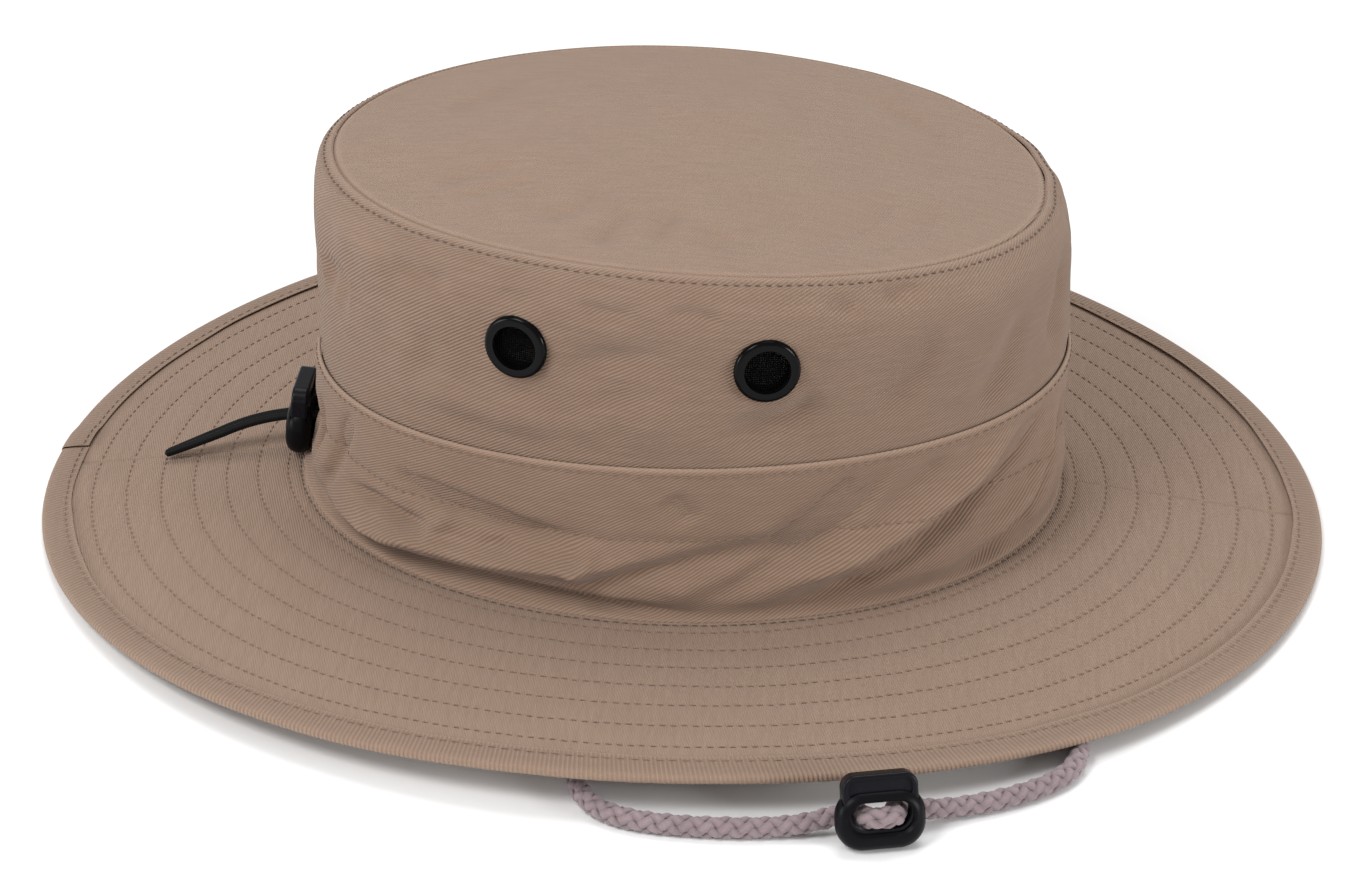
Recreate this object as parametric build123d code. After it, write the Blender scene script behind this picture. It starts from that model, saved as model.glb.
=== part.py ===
from build123d import *
import os
from math import atan, cos, degrees, hypot, pi, radians, sin, sqrt, tan

# A boonie hat: a cloth sun hat with a quilted brim, a drawn-in crown with screened vents, an elastic
# drawcord with a cord lock at the back, and a braided chin cord with a second cord lock.
# Millimetres. +X is the front of the hat, +Y the wearer's left, +Z up.
# The origin is on the table, under the middle of the brim. The hat stands on its brim's edge.

# ---- driving sizes -------------------------------------------------------------------------------
BRIM_WIDTH = 70.0  # from the crown seam to the brim's edge, along the brim
BASE_A, BASE_B = 97.3, 81.4  # half length and half width of the oval crown seam
DROOP_MEAN, DROOP_SADDLE = 3.86, 3.73  # brim's fall in degrees: most at front and back, least at the sides
CLOTH = 0.45  # one ply of cloth
INTERLINING = 0.5  # the stiff layer inside the brim
PLY_GAP = 0.05  # air between two plies
WALL = 1.1  # crown cloth with its seam allowances
BINDING_REACH = 7.5  # how far the bias tape reaches in from the brim's edge
CINCH_BACK = 2.0  # how far the drawcord pulls the crown in at the back
CROWN_TOP_A, CROWN_TOP_B, CROWN_TOP_X = 89.4, 75.35, 1.35  # oval seam round the crown's tip
CROWN_HEIGHT, CROWN_SLOPE, CROWN_SADDLE = 88.2, -4.1, -2.5  # height of that seam: mean, front-to-back, saddle
SHOULDER_HEIGHT = 82.4
TIP_DOME = 5.0  # rise of the tip's middle over its seam
SIDE_SAG = 5.8  # how far the soft crown has sunk where it has sunk most
SAG_TOWARDS = 100.0  # the side on which it has, in degrees round from the front towards the left
SAG_CURVE = 1.6
BAND_HEIGHT, BAND_SLOPE, BAND_SADDLE = 39.6, 2.8, -1.8  # top edge of the hatband above the crown seam
BAND_A, BAND_B, BAND_X = 96.5, 81.06, 2.7
BAND_CLOTH = 0.9
BAND_OPENING = 10.0  # gap between the hatband's ends at the back, where the drawcord comes out
CHIN_CORD_D = 5.0
DRAWCORD_D = 2.1
VENT_R = 8.0  # outer radius of a vent's flange
LOCK_W, LOCK_T = 20.8, 6.8  # a cord lock's width and thickness
LOCK_BELOW, LOCK_ABOVE = 7.8, 6.5  # its body's reach below and above the middle of its cord hole

# ---- sizes that follow from them -----------------------------------------------------------------
BRIM_PLIES = 2 * CLOTH + INTERLINING + 2 * PLY_GAP
BINDING_CLOTH = 0.4
EDGE_FALL = BRIM_WIDTH * sin(radians(DROOP_MEAN + DROOP_SADDLE))
SEAM_Z = EDGE_FALL + (BRIM_PLIES + PLY_GAP + BINDING_CLOTH)  # height of the crown seam over the table
DRAWCORD_Z = SEAM_Z + 10.0
CHANNEL_AIR = 0.45  # between the drawcord and the cloth on either side
CORD_INSET = BAND_CLOTH + CHANNEL_AIR + DRAWCORD_D / 2  # drawcord's centre, inside the hatband's outer face
CHANNEL_INSET = CORD_INSET + DRAWCORD_D / 2 + CHANNEL_AIR  # crown wall's outer face behind the drawcord
SWEAT_INSET = CHANNEL_INSET + WALL + 1.0  # sweatband's outer face
SWEAT_CLOTH = 1.0
SWEAT_HEIGHT = 30.0  # its top edge over the crown seam
SWEAT_LEAN = 1.0  # how much it leans in over that height
SWEAT_SHIFT = 0.07  # how far its middle moves forward for each millimetre of height, as the crown's does
LABEL_W, LABEL_T = 28.0, 0.5
LABEL_HEIGHT, LABEL_Z = 18.0, 12.0  # the label's height, and its middle over the crown seam
CHIN_Z = CHIN_CORD_D / 2 + 0.1  # the chin cord's centre where it lies on the table


# ---- the oval and what is built round it ---------------------------------------------------------
def out_from(phi):
    """Outward unit normal of the crown seam's oval, in plan."""
    x, y = cos(phi) / BASE_A, sin(phi) / BASE_B
    size = hypot(x, y)
    return x / size, y / size


def cinch(phi):
    """How far the drawcord pulls the crown in at this place round the hat."""
    return CINCH_BACK * max(0.0, -cos(phi)) ** 4


def side_sag(ahead, left, height):
    """How far the crown has sunk at a place, given as shares of its oval's half length and half width."""
    reached = min(1.0, max(0.0, (height - BAND_HEIGHT) / (SHOULDER_HEIGHT - BAND_HEIGHT)))
    towards = ahead * cos(radians(SAG_TOWARDS)) + left * sin(radians(SAG_TOWARDS))
    return SIDE_SAG * reached * max(0.0, towards) ** SAG_CURVE


def brim_point(phi, along, lift):
    """A point of the brim: along it from the crown seam, and lifted off its top face."""
    nx, ny = out_from(phi)
    fall = radians(DROOP_MEAN + DROOP_SADDLE * cos(2 * phi)) if along > 0 else 0.0
    out = along * cos(fall) + lift * sin(fall)
    up = -along * sin(fall) + lift * cos(fall)
    return Vector(BASE_A * cos(phi) + nx * out, BASE_B * sin(phi) + ny * out, SEAM_Z + up)


def brim_top_z(x):
    """Height of the brim's top face behind the crown, on the hat's centre line."""
    return SEAM_Z - (abs(x) - BASE_A) * tan(radians(DROOP_MEAN + DROOP_SADDLE))


# Each level of the crown's outer face: half length, half width, middle, height (mean, front-to-back, saddle),
# and how much of the drawcord's cinch reaches it.
LEVELS = {
    "seam": (BASE_A, BASE_B, 0.0, 0.15, 0.0, 0.0, 0.0),
    "low": (97.2, 81.4, 0.4, 5.0, 0.3, -0.2, 0.7),
    "cord": (97.1, 81.4, 0.7, 10.0, 0.7, -0.4, 1.0),
    "high": (96.9, 81.3, 1.2, 17.0, 1.2, -0.8, 1.0),
    "stitch": (96.8, 81.2, 1.6, 22.0, 1.6, -1.0, 0.6),
    "swell": (96.6, 81.1, 2.2, 31.0, 2.2, -1.4, 0.2),
    "band_top": (BAND_A, BAND_B, BAND_X, BAND_HEIGHT, BAND_SLOPE, BAND_SADDLE, 0.0),
    "middle": (95.6, 80.6, 2.2, 62.0, 0.0, -2.2, 0.0),
    "shoulder": (94.2, 80.1, 1.5, SHOULDER_HEIGHT, CROWN_SLOPE, CROWN_SADDLE, 0.0),
    "turn": (92.6, 78.5, 1.4, 86.6, CROWN_SLOPE, CROWN_SADDLE, 0.0),
    "tip": (CROWN_TOP_A, CROWN_TOP_B, CROWN_TOP_X, CROWN_HEIGHT, CROWN_SLOPE, CROWN_SADDLE, 0.0),
}


def crown_point(level, phi, inset, drop=0.0):
    """A point of the crown at a named level, inset from its outer face."""
    a, b, middle, height, slope, saddle, drawn = LEVELS[level]
    nx, ny = out_from(phi)
    inset = inset + drawn * cinch(phi)
    z = SEAM_Z + height + slope * cos(phi) + saddle * cos(2 * phi) - drop
    sunk = side_sag(cos(phi), sin(phi), height)
    return Vector(middle + a * cos(phi) - nx * inset, b * sin(phi) - ny * inset, z - sunk)


HALF_RING_STEPS, BAND_STEPS, WHOLE_RING_STEPS = 24, 30, 60  # cross-sections lofted through, round the oval


def ring_of(section, start, end, steps):
    """A closed solid lofted through section(phi), a closed wire, from start to end in degrees."""
    angles = [radians(start + (end - start) * i / steps) for i in range(steps + 1)]
    return Solid.make_loft([section(phi) for phi in angles])


def strip_wire(outer, inner):
    """The cross-section of a strip of cloth between two rows of points."""
    face_out = Edge.make_spline(outer)
    face_in = Edge.make_spline(inner)
    return Wire([
        face_out,
        Edge.make_line(outer[-1], inner[-1]),
        face_in,
        Edge.make_line(inner[0], outer[0]),
    ])


# ---- brim ----------------------------------------------------------------------------------------
SIDES = {"right": (180.0, 360.0), "left": (0.0, 180.0)}
SEAM_SLIT_DEG = 0.06  # keeps the two halves of the brim just apart at the front and back seams


def brim_ply(top, thick, inner, outer, side):
    """One half ring of brim cloth, its top face lying top under the brim's own top face."""
    start, end = SIDES[side]

    def section(phi):
        corners = [
            brim_point(phi, inner, -top),
            brim_point(phi, 0.0, -top),
            brim_point(phi, outer, -top),
            brim_point(phi, outer, -top - thick),
            brim_point(phi, 0.0, -top - thick),
            brim_point(phi, inner, -top - thick),
        ]
        return Wire.make_polygon(corners, close=True)

    return ring_of(section, start + SEAM_SLIT_DEG, end - SEAM_SLIT_DEG, HALF_RING_STEPS)


def brim_plies():
    """The brim's cloth, stiffener and lining, each as a right and a left half."""
    inner = -(SWEAT_INSET - 0.3)
    outer = BRIM_WIDTH - BINDING_CLOTH - 0.3
    layers = {
        "brim_upper": (0.0, CLOTH),
        "brim_interlining": (CLOTH + PLY_GAP, INTERLINING),
        "brim_lower": (CLOTH + INTERLINING + 2 * PLY_GAP, CLOTH),
    }
    plies = {}
    for name, (top, thick) in layers.items():
        for side in SIDES:
            plies[f"{name}_{side}"] = brim_ply(top, thick, inner, outer, side)
    return plies


def binding():
    """Bias tape folded over the brim's edge, its two ends meeting a little left of the back seam."""
    meet = 177.2
    half_gap = 0.1
    t = BINDING_CLOTH
    gap = PLY_GAP
    start = BRIM_WIDTH - BINDING_REACH
    nose = BRIM_WIDTH - t
    low = -BRIM_PLIES - gap

    def section(phi):
        outline = [
            (start, gap),
            (start, gap + t),
            (nose - 0.4, gap + t),
            (BRIM_WIDTH - 0.1, gap - 0.2),
            (BRIM_WIDTH, -BRIM_PLIES / 2),
            (BRIM_WIDTH - 0.1, low + 0.2),
            (nose - 0.4, low - t),
            (start, low - t),
            (start, low),
            (nose - 0.1, low),
            (nose - 0.1, gap),
        ]
        return Wire.make_polygon([brim_point(phi, s, w) for s, w in outline], close=True)

    return ring_of(section, meet + half_gap, meet + 360 - half_gap, WHOLE_RING_STEPS)


# ---- crown ---------------------------------------------------------------------------------------
TIP_SEAM_GAP = 0.15  # from the tip's seam to the cloth on either side of it
THROUGH = 30.0  # long enough to cut right through a wall


def crown_side(side):
    """Half of the crown's wall: drawn in behind the channel, and turned over a soft shoulder at its top."""
    behind_channel = ["seam", "low", "cord", "high"]
    inset = {name: CHANNEL_INSET for name in behind_channel}
    inset.update({"stitch": 2.3, "swell": 1.2, "band_top": BAND_CLOTH + 0.2})
    start, end = SIDES[side]

    def section(phi):
        outer = [crown_point(name, phi, inset.get(name, 0.0)) for name in LEVELS if name != "tip"]
        outer.append(crown_point("tip", phi, -TIP_SEAM_GAP))
        inner = [crown_point(name, phi, inset.get(name, 0.0) + WALL) for name in LEVELS
                 if name not in ("tip", "turn")]
        inner.append(crown_point("turn", phi, WALL * 0.75, WALL * 0.75))
        inner.append(crown_point("tip", phi, -TIP_SEAM_GAP, WALL))
        return strip_wire(outer, inner)

    wall = ring_of(section, start, end, HALF_RING_STEPS)
    for place in vent_places(side):
        wall = wall - place * Cylinder(VENT_BARREL_R + VENT_HOLE_AIR, THROUGH)
    return wall


def crown_tip():
    """The oval top of the crown, a shallow dome that dips with its seam."""
    half = CROWN_TOP_A + 10
    steps = 12

    def height(x, y):
        u = (x - CROWN_TOP_X) / CROWN_TOP_A
        v = y / CROWN_TOP_B
        rim = CROWN_HEIGHT + CROWN_SLOPE * u + CROWN_SADDLE * (u * u - v * v)
        return SEAM_Z + rim + TIP_DOME * (1 - u * u - v * v) - side_sag(u, v, CROWN_HEIGHT)

    span = [half * (2 * i / steps - 1) for i in range(steps + 1)]
    rows = [[Vector(x, y, height(x, y)) for y in span] for x in span]
    slab = Solid.extrude(Face.make_surface_from_array_of_points(rows), (0, 0, -WALL))
    half_length, half_width = CROWN_TOP_A - TIP_SEAM_GAP, CROWN_TOP_B - TIP_SEAM_GAP
    column = Pos(CROWN_TOP_X, 0, SEAM_Z) * extrude(Ellipse(half_length, half_width), 2 * CROWN_HEIGHT)
    return slab & column


def hatband():
    """A strip round the foot of the crown, bulged over the drawcord, with its ends apart at the back."""
    names = ["seam", "low", "cord", "high", "stitch", "swell", "band_top"]

    def section(phi):
        outer = [crown_point(name, phi, 0.0) for name in names]
        inner = [crown_point(name, phi, BAND_CLOTH) for name in names]
        return strip_wire(outer, inner)

    right, left = (ring_of(section, start, end, BAND_STEPS) for start, end in SIDES.values())
    opening = Pos(-BASE_A, 0, SEAM_Z + BAND_HEIGHT / 2) * Box(THROUGH, BAND_OPENING, 2 * BAND_HEIGHT)
    return (right + left) - opening


def sweatband():
    """The band against the wearer's forehead, inside the crown seam."""
    bottom, top = SEAM_Z - BRIM_PLIES - 0.4, SEAM_Z + SWEAT_HEIGHT
    start, end = 180.3, 539.7  # its ends just meet at the back

    def section(phi):
        nx, ny = out_from(phi)

        def at(inset, z):
            inset = inset + cinch(phi)
            middle = SWEAT_SHIFT * (z - SEAM_Z)
            return Vector(middle + BASE_A * cos(phi) - nx * inset, BASE_B * sin(phi) - ny * inset, z)

        return Wire.make_polygon([
            at(SWEAT_INSET, bottom),
            at(SWEAT_INSET + SWEAT_LEAN, top),
            at(SWEAT_INSET + SWEAT_LEAN + SWEAT_CLOTH, top),
            at(SWEAT_INSET + SWEAT_CLOTH, bottom),
        ], close=True)

    return ring_of(section, start, end, WHOLE_RING_STEPS)


def inner_label():
    """A small blank woven tab on the sweatband's inner face, at the back."""
    slope = SWEAT_LEAN / SWEAT_HEIGHT + SWEAT_SHIFT
    clear_of_curve = 2.9  # the band curves in towards the label's two sides
    face = -(BASE_A - SWEAT_INSET - SWEAT_CLOTH - CINCH_BACK) + slope * LABEL_Z
    lean = degrees(atan(slope))
    tab = Rot(0, lean, 0) * Box(LABEL_T, LABEL_W, LABEL_HEIGHT)
    return Pos(face + clear_of_curve, 0, SEAM_Z + LABEL_Z) * tab


# ---- vents ---------------------------------------------------------------------------------------
VENT_BARREL_R = 6.3
VENT_HOLE_AIR = 0.25  # between a barrel and the hole in the cloth
VENT_TUBE = 0.7  # thickness of an eyelet's barrel
VENT_BARREL = (-3.4, 0.6)  # where the barrel begins and ends, along its axis
VENT_FLANGE = (0.2, 1.6)  # and the flange
VENT_WASHER_T, VENT_SCREEN_T = 0.7, 0.4
WALL_LEAN = 0.03  # how much the wall leans in for each millimetre of height, at the vents
VENT_PROUD = 0.5  # the eyelet's seat stands this far off the wall's nominal face
VENT_CENTRES = {"rear": (-33.9, 69.8), "front": (25.3, 68.0)}  # along the hat, and above the crown seam


def vent_places(side):
    """Each vent's place on one side: its origin on the wall's outer face, its Z axis straight out."""
    a, b, middle = LEVELS["middle"][:3]
    sign = -1 if side == "right" else 1
    places = []
    for x, height in VENT_CENTRES.values():
        share = (x - middle) / a
        y = sign * b * sqrt(1 - share * share)
        normal = Vector((x - middle) / a ** 2, y / b ** 2, WALL_LEAN / b).normalized()
        face = Vector(x, y, SEAM_Z + height)
        places.append(Plane(origin=face + normal * VENT_PROUD, z_dir=normal).location)
    return places


def all_vents(piece):
    """The same piece at each of the four vents."""
    return Compound([place * piece for side in SIDES for place in vent_places(side)])


def disc(radius, start, end):
    """A round piece between two places on a vent's axis."""
    return Pos(0, 0, (start + end) / 2) * Cylinder(radius, end - start)


def vent_eyelets():
    """Flanged rings pressed through the crown's wall."""
    flange = disc(VENT_R, *VENT_FLANGE)
    flange = fillet(flange.edges().group_by(Axis.Z)[-1], 1.0)
    barrel = disc(VENT_BARREL_R, *VENT_BARREL)
    return all_vents((flange + barrel) - Cylinder(VENT_BARREL_R - VENT_TUBE, THROUGH))


def vent_washers():
    """Rings behind the wall that the eyelets' barrels grip."""
    grip = 0.08
    washer = Cylinder(VENT_R + 0.3, VENT_WASHER_T) - Cylinder(VENT_BARREL_R + grip, THROUGH)
    return all_vents(Pos(0, 0, -WALL - 2 * VENT_WASHER_T) * washer)


def vent_screens():
    """Discs of fine mesh that close each vent."""
    return all_vents(Pos(0, 0, -VENT_SCREEN_T) * Cylinder(VENT_BARREL_R - VENT_TUBE - 0.05, VENT_SCREEN_T))


# ---- cord locks ----------------------------------------------------------------------------------
# In a lock's own frame X is its width, Y runs up towards its button, and Z out of its cord hole.
HOLE_W, HOLE_H = 14.8, 7.3
MOUTH_FLARE = 0.7
CORNER = 6.2
POCKET_T = 4.5
POCKET_FLOOR = -6.5
BUTTON_W, BUTTON_T = 17.5, 4.3
BUTTON_AIR = 0.3  # the pocket is this much wider than the button
FOOT_CORNER, SHOULDER_CORNER = 6.0, 3.2  # the button is well rounded at its foot and less at its top
BUTTON_SLOT_H = 8.1  # its own cord hole
BUTTON_BAR = 1.4  # the button's bar under the cords
BUTTON_REST = -4.4  # its lowest point when the chin cord is between it and the body
BUTTON_TOP = 10.0
PANEL_W, PANEL_LOW, PANEL_HIGH, PANEL_DEEP = 14.6, 4.4, 8.9, 0.5  # the sunk panel on each face of the button
LOCK_ROUNDING = 3.1
SPRING_R, SPRING_WIRE, SPRING_TURNS = 1.5, 0.35, 3
SPRING_WELL = 0.8


def lock_body():
    """A cord lock's body: a rounded block with a wide cord hole, and a pocket for the button."""
    height = LOCK_ABOVE + LOCK_BELOW
    middle = (LOCK_ABOVE - LOCK_BELOW) / 2
    body = Pos(0, middle, -LOCK_T / 2) * extrude(RectangleRounded(LOCK_W, height, CORNER), LOCK_T)
    body = fillet(body.edges().group_by(Axis.Z)[0] + body.edges().group_by(Axis.Z)[-1], LOCK_ROUNDING)
    body = body - Pos(0, 0, -LOCK_T) * extrude(SlotOverall(HOLE_W, HOLE_H), 2 * LOCK_T)
    flare = Pos(0, 0, LOCK_T / 2 - MOUTH_FLARE) * extrude(
        SlotOverall(HOLE_W - 0.02, HOLE_H - 0.02), MOUTH_FLARE + 0.1, taper=-45)
    body = body - flare - Rot(0, 180, 0) * flare
    pocket_w = BUTTON_W + BUTTON_AIR
    foot_height = 2 * -POCKET_FLOOR
    foot = Pos(0, POCKET_FLOOR + foot_height / 2) * RectangleRounded(pocket_w, foot_height, FOOT_CORNER)
    shaft = Pos(0, LOCK_ABOVE) * Rectangle(pocket_w, 2 * LOCK_ABOVE)
    return body - Pos(0, 0, -POCKET_T / 2) * extrude(foot + shaft, POCKET_T)


def lock_button(rise):
    """The sprung button: a plate with its own cord hole, standing rise higher than under a thick cord."""
    height = BUTTON_TOP - BUTTON_REST
    shoulder_height = height - 2.4
    plate = Pos(0, BUTTON_REST + height / 2) * RectangleRounded(BUTTON_W, height, FOOT_CORNER)
    shoulders = Pos(0, BUTTON_TOP - shoulder_height / 2) * RectangleRounded(
        BUTTON_W, shoulder_height, SHOULDER_CORNER)
    button = Pos(0, 0, -BUTTON_T / 2) * extrude(plate + shoulders, BUTTON_T)
    rims = button.edges().group_by(Axis.Z)
    button = fillet(rims[0] + rims[-1], 0.7)
    panel_height = PANEL_HIGH - PANEL_LOW
    panel = Pos(0, PANEL_LOW + panel_height / 2) * RectangleRounded(PANEL_W, panel_height, 1.6)
    sunk = Pos(0, 0, BUTTON_T / 2 - PANEL_DEEP) * extrude(panel, BUTTON_T)
    button = button - sunk - Rot(0, 180, 0) * sunk
    slot_low = BUTTON_REST + BUTTON_BAR
    slot = Pos(0, slot_low + BUTTON_SLOT_H / 2) * SlotOverall(HOLE_W - 0.8, BUTTON_SLOT_H)
    button = button - Pos(0, 0, -BUTTON_T) * extrude(slot, 2 * BUTTON_T)
    well = Pos(0, BUTTON_REST + SPRING_WELL / 2, 0) * Rot(90, 0, 0) * Cylinder(SPRING_R + 0.35, SPRING_WELL)
    return Pos(0, rise, 0) * (button - well)


def lock_spring(rise):
    """The coil spring under the button."""
    low = POCKET_FLOOR + SPRING_WIRE / 2 + 0.03
    high = BUTTON_REST + SPRING_WELL - SPRING_WIRE / 2 - 0.03 + rise
    length = high - low
    path = Helix(length / SPRING_TURNS, length, SPRING_R)
    start = path @ 0
    section = Plane(origin=start, z_dir=path % 0) * Circle(SPRING_WIRE / 2)
    coil = sweep(section, path)
    return Pos(0, low, 0) * Rot(-90, 0, 0) * coil


def cord_lock(name, place, rise):
    """A lock's three pieces at a place."""
    return {
        f"{name}_body": place * lock_body(),
        f"{name}_button": place * lock_button(rise),
        f"{name}_spring": place * lock_spring(rise),
    }


def plane_facing(origin, turn, lean):
    """A lock's place: turned about Z, in degrees, from facing -Y, and leaning back."""
    turn, lean = radians(turn), radians(lean)
    across = (cos(turn), sin(turn), 0)
    facing = (sin(turn) * cos(lean), -cos(turn) * cos(lean), sin(lean))
    return Plane(origin=origin, x_dir=across, z_dir=facing)


CHIN_LOCK = plane_facing((56.6, -156.5, 7.8), 14.0, 18.0)
REAR_LOCK_LEAN = 4.0
REAR_LOCK_RISE = 1.5
REAR_LOCK = plane_facing((-99.4, 0.0, SEAM_Z + LOCK_BELOW + 0.6), -90.0, REAR_LOCK_LEAN)


# ---- cords ---------------------------------------------------------------------------------------
def arc_radii(points):
    """The radius of each corner's arc: 0.45 of its shorter run over the tangent of half its turn."""
    radii = []
    for before, here, after in zip(points, points[1:], points[2:]):
        run_in, run_out = here - before, after - here
        turn = radians(run_in.get_angle(run_out))
        radii.append(0.45 * min(run_in.length, run_out.length) / tan(turn / 2))
    return radii


def tube(name, points, diameter):
    """A cord's solid: straight runs joined by tangent arcs."""
    points = [Vector(*p) for p in points]
    radii = arc_radii(points)
    path = FilletPolyline(*points, radius=radii)
    solid = sweep(Plane(origin=path @ 0, z_dir=path % 0) * Circle(diameter / 2), path)
    share = solid.volume / (pi * diameter ** 2 / 4 * path.length)
    print(name, "length", round(path.length, 1), "volume share", round(share, 3),
          "radii", [round(r, 1) for r in radii])
    return solid


def in_lock(lock, x, y, z):
    """A point given in a lock's own frame."""
    return tuple(lock.from_local_coords(Vector(x, y, z)))


# The chin cord's fold stands in its lock's hole, its strands leave the hole's back and part on the table.
FOLD_HALF = 4.0  # half the distance between the two strands in the hole
FOLD_TIP = 2.6
FOLD_BACK = -6.2
CHIN_CORD_ROUTE = [
    (1.5, -70.9, 12.5),
    (4.5, -66.5, 3.4),
    (24.0, -57.0, CHIN_Z),
    (50.0, -53.0, CHIN_Z),
    (75.0, -66.0, CHIN_Z),
    (93.0, -86.0, CHIN_Z),
    (103.0, -110.5, CHIN_Z),
    (101.5, -126.5, CHIN_Z),
    (89.5, -137.5, CHIN_Z),
    (71.0, -146.0, CHIN_Z + 0.2),
    in_lock(CHIN_LOCK, FOLD_HALF, 0, FOLD_BACK),
    in_lock(CHIN_LOCK, FOLD_HALF, 0, FOLD_TIP),
    in_lock(CHIN_LOCK, -FOLD_HALF, 0, FOLD_TIP),
    in_lock(CHIN_LOCK, -FOLD_HALF, 0, FOLD_BACK),
    (38.0, -155.6, CHIN_Z + 0.2),
    (18.0, -157.6, CHIN_Z),
    (-3.0, -155.8, CHIN_Z),
    (-13.2, -146.5, CHIN_Z),
    (-16.0, -127.0, CHIN_Z),
    (-11.0, -100.0, CHIN_Z),
    (-17.0, -72.0, CHIN_Z),
    (-4.0, -46.0, CHIN_Z),
    (17.0, -27.0, CHIN_Z),
    (16.0, 0.0, CHIN_Z),
    (-6.0, 16.0, CHIN_Z),
    (-24.0, 34.0, CHIN_Z),
    (-17.0, 56.0, CHIN_Z),
    (-5.0, 67.0, 3.6),
    (-1.0, 71.0, 12.5),
]

# The drawcord's two ends leave the channel side by side, pass the rear lock and lie back on the brim.
STRAND_OUT = 1.2  # half the distance between the strands in the lock
CHANNEL_END_DEG = 4.6  # where the tails take over from the run in the channel, from the back's middle
REST_X = -136.0
CORNER_CUT = 0.2  # how far the run in the channel passes inside its corners


def channel_point(degrees_round):
    """The drawcord's centre in the channel. Its straight runs pass a little inside their corners."""
    at = crown_point("cord", radians(degrees_round), CORD_INSET - CORNER_CUT)
    return at.X, at.Y, DRAWCORD_Z


def drawcord_channel_run():
    """The part of the drawcord inside the channel, round the whole crown."""
    steps = 36
    first, last = 180 + CHANNEL_END_DEG, 540 - CHANNEL_END_DEG
    route = [channel_point(first + (last - first) * i / steps) for i in range(steps + 1)]
    return tube("drawcord_channel_run", route, DRAWCORD_D)


def drawcord_tail(side):
    """One end of the drawcord: out of the channel, through the rear lock and down onto the brim."""
    sign = -1 if side == "right" else 1
    start = channel_point(180 - sign * CHANNEL_END_DEG)
    hole = in_lock(REAR_LOCK, 0, 1.1, 0)
    rest_z = brim_top_z(REST_X) + DRAWCORD_D / 2 + (1.15 if side == "right" else 0.2)
    route = [
        start,
        (start[0] - 0.4, sign * STRAND_OUT, DRAWCORD_Z),
        (hole[0] - 4.2, sign * STRAND_OUT, hole[2] - 0.3),
        (-114.2, sign * STRAND_OUT - 0.3, DRAWCORD_Z - 3.6),
        (-124.5, sign * STRAND_OUT - 1.0, DRAWCORD_Z - 8.5),
        (REST_X, sign * STRAND_OUT - 2.0, rest_z),
    ]
    return tube(f"drawcord_tail_{side}", route, DRAWCORD_D)


# ---- the whole hat -------------------------------------------------------------------------------
def build():
    """Every piece of the hat, by node name."""
    pieces = {}
    pieces.update(brim_plies())
    pieces["brim_binding"] = binding()
    pieces["crown_tip"] = crown_tip()
    for side in SIDES:
        pieces[f"crown_side_{side}"] = crown_side(side)
    pieces["hatband"] = hatband()
    pieces["sweatband"] = sweatband()
    pieces["inner_label"] = inner_label()
    pieces["vent_eyelets"] = vent_eyelets()
    pieces["vent_washers"] = vent_washers()
    pieces["vent_screens"] = vent_screens()
    pieces["drawcord_channel_run"] = drawcord_channel_run()
    for side in SIDES:
        pieces[f"drawcord_tail_{side}"] = drawcord_tail(side)
    pieces.update(cord_lock("rear_lock", REAR_LOCK.location, REAR_LOCK_RISE))
    pieces["chin_cord"] = tube("chin_cord", CHIN_CORD_ROUTE, CHIN_CORD_D)
    pieces.update(cord_lock("chin_lock", CHIN_LOCK.location, 0.0))
    return pieces


os.makedirs("parts", exist_ok=True)
for node, solid in build().items():
    export_step(solid, f"parts/{node}.step")
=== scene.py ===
"""The looks of a boonie hat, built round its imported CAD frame.

Sizes are in millimetres, in the frame's axes: +X is the front of the hat, +Y the wearer's left, +Z up,
and the hat stands on the floor at z = 0. Meshes are made in metres. phi is the angle round the crown
seam's oval, 0 at the front and 90 degrees at the wearer's left.
"""

from math import ceil, cos, degrees, pi, radians, sin, sqrt, tan

import bmesh
import bpy
import numpy as np
from mathutils import Matrix, Vector


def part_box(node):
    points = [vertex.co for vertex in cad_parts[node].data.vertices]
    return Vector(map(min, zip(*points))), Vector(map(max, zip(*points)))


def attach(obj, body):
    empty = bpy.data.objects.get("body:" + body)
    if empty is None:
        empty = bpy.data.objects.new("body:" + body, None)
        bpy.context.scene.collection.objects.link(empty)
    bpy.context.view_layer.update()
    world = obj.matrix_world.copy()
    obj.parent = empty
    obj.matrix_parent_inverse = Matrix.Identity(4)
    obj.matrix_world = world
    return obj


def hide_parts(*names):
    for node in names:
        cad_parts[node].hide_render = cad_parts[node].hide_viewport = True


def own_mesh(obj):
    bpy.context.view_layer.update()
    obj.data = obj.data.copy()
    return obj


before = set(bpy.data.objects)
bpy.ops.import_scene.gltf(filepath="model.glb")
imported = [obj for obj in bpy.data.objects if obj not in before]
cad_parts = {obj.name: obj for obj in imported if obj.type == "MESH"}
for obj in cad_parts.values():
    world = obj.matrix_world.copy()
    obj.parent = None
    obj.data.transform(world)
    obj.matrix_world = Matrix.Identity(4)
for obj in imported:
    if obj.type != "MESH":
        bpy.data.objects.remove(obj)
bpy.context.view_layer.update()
MM = 0.001

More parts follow.
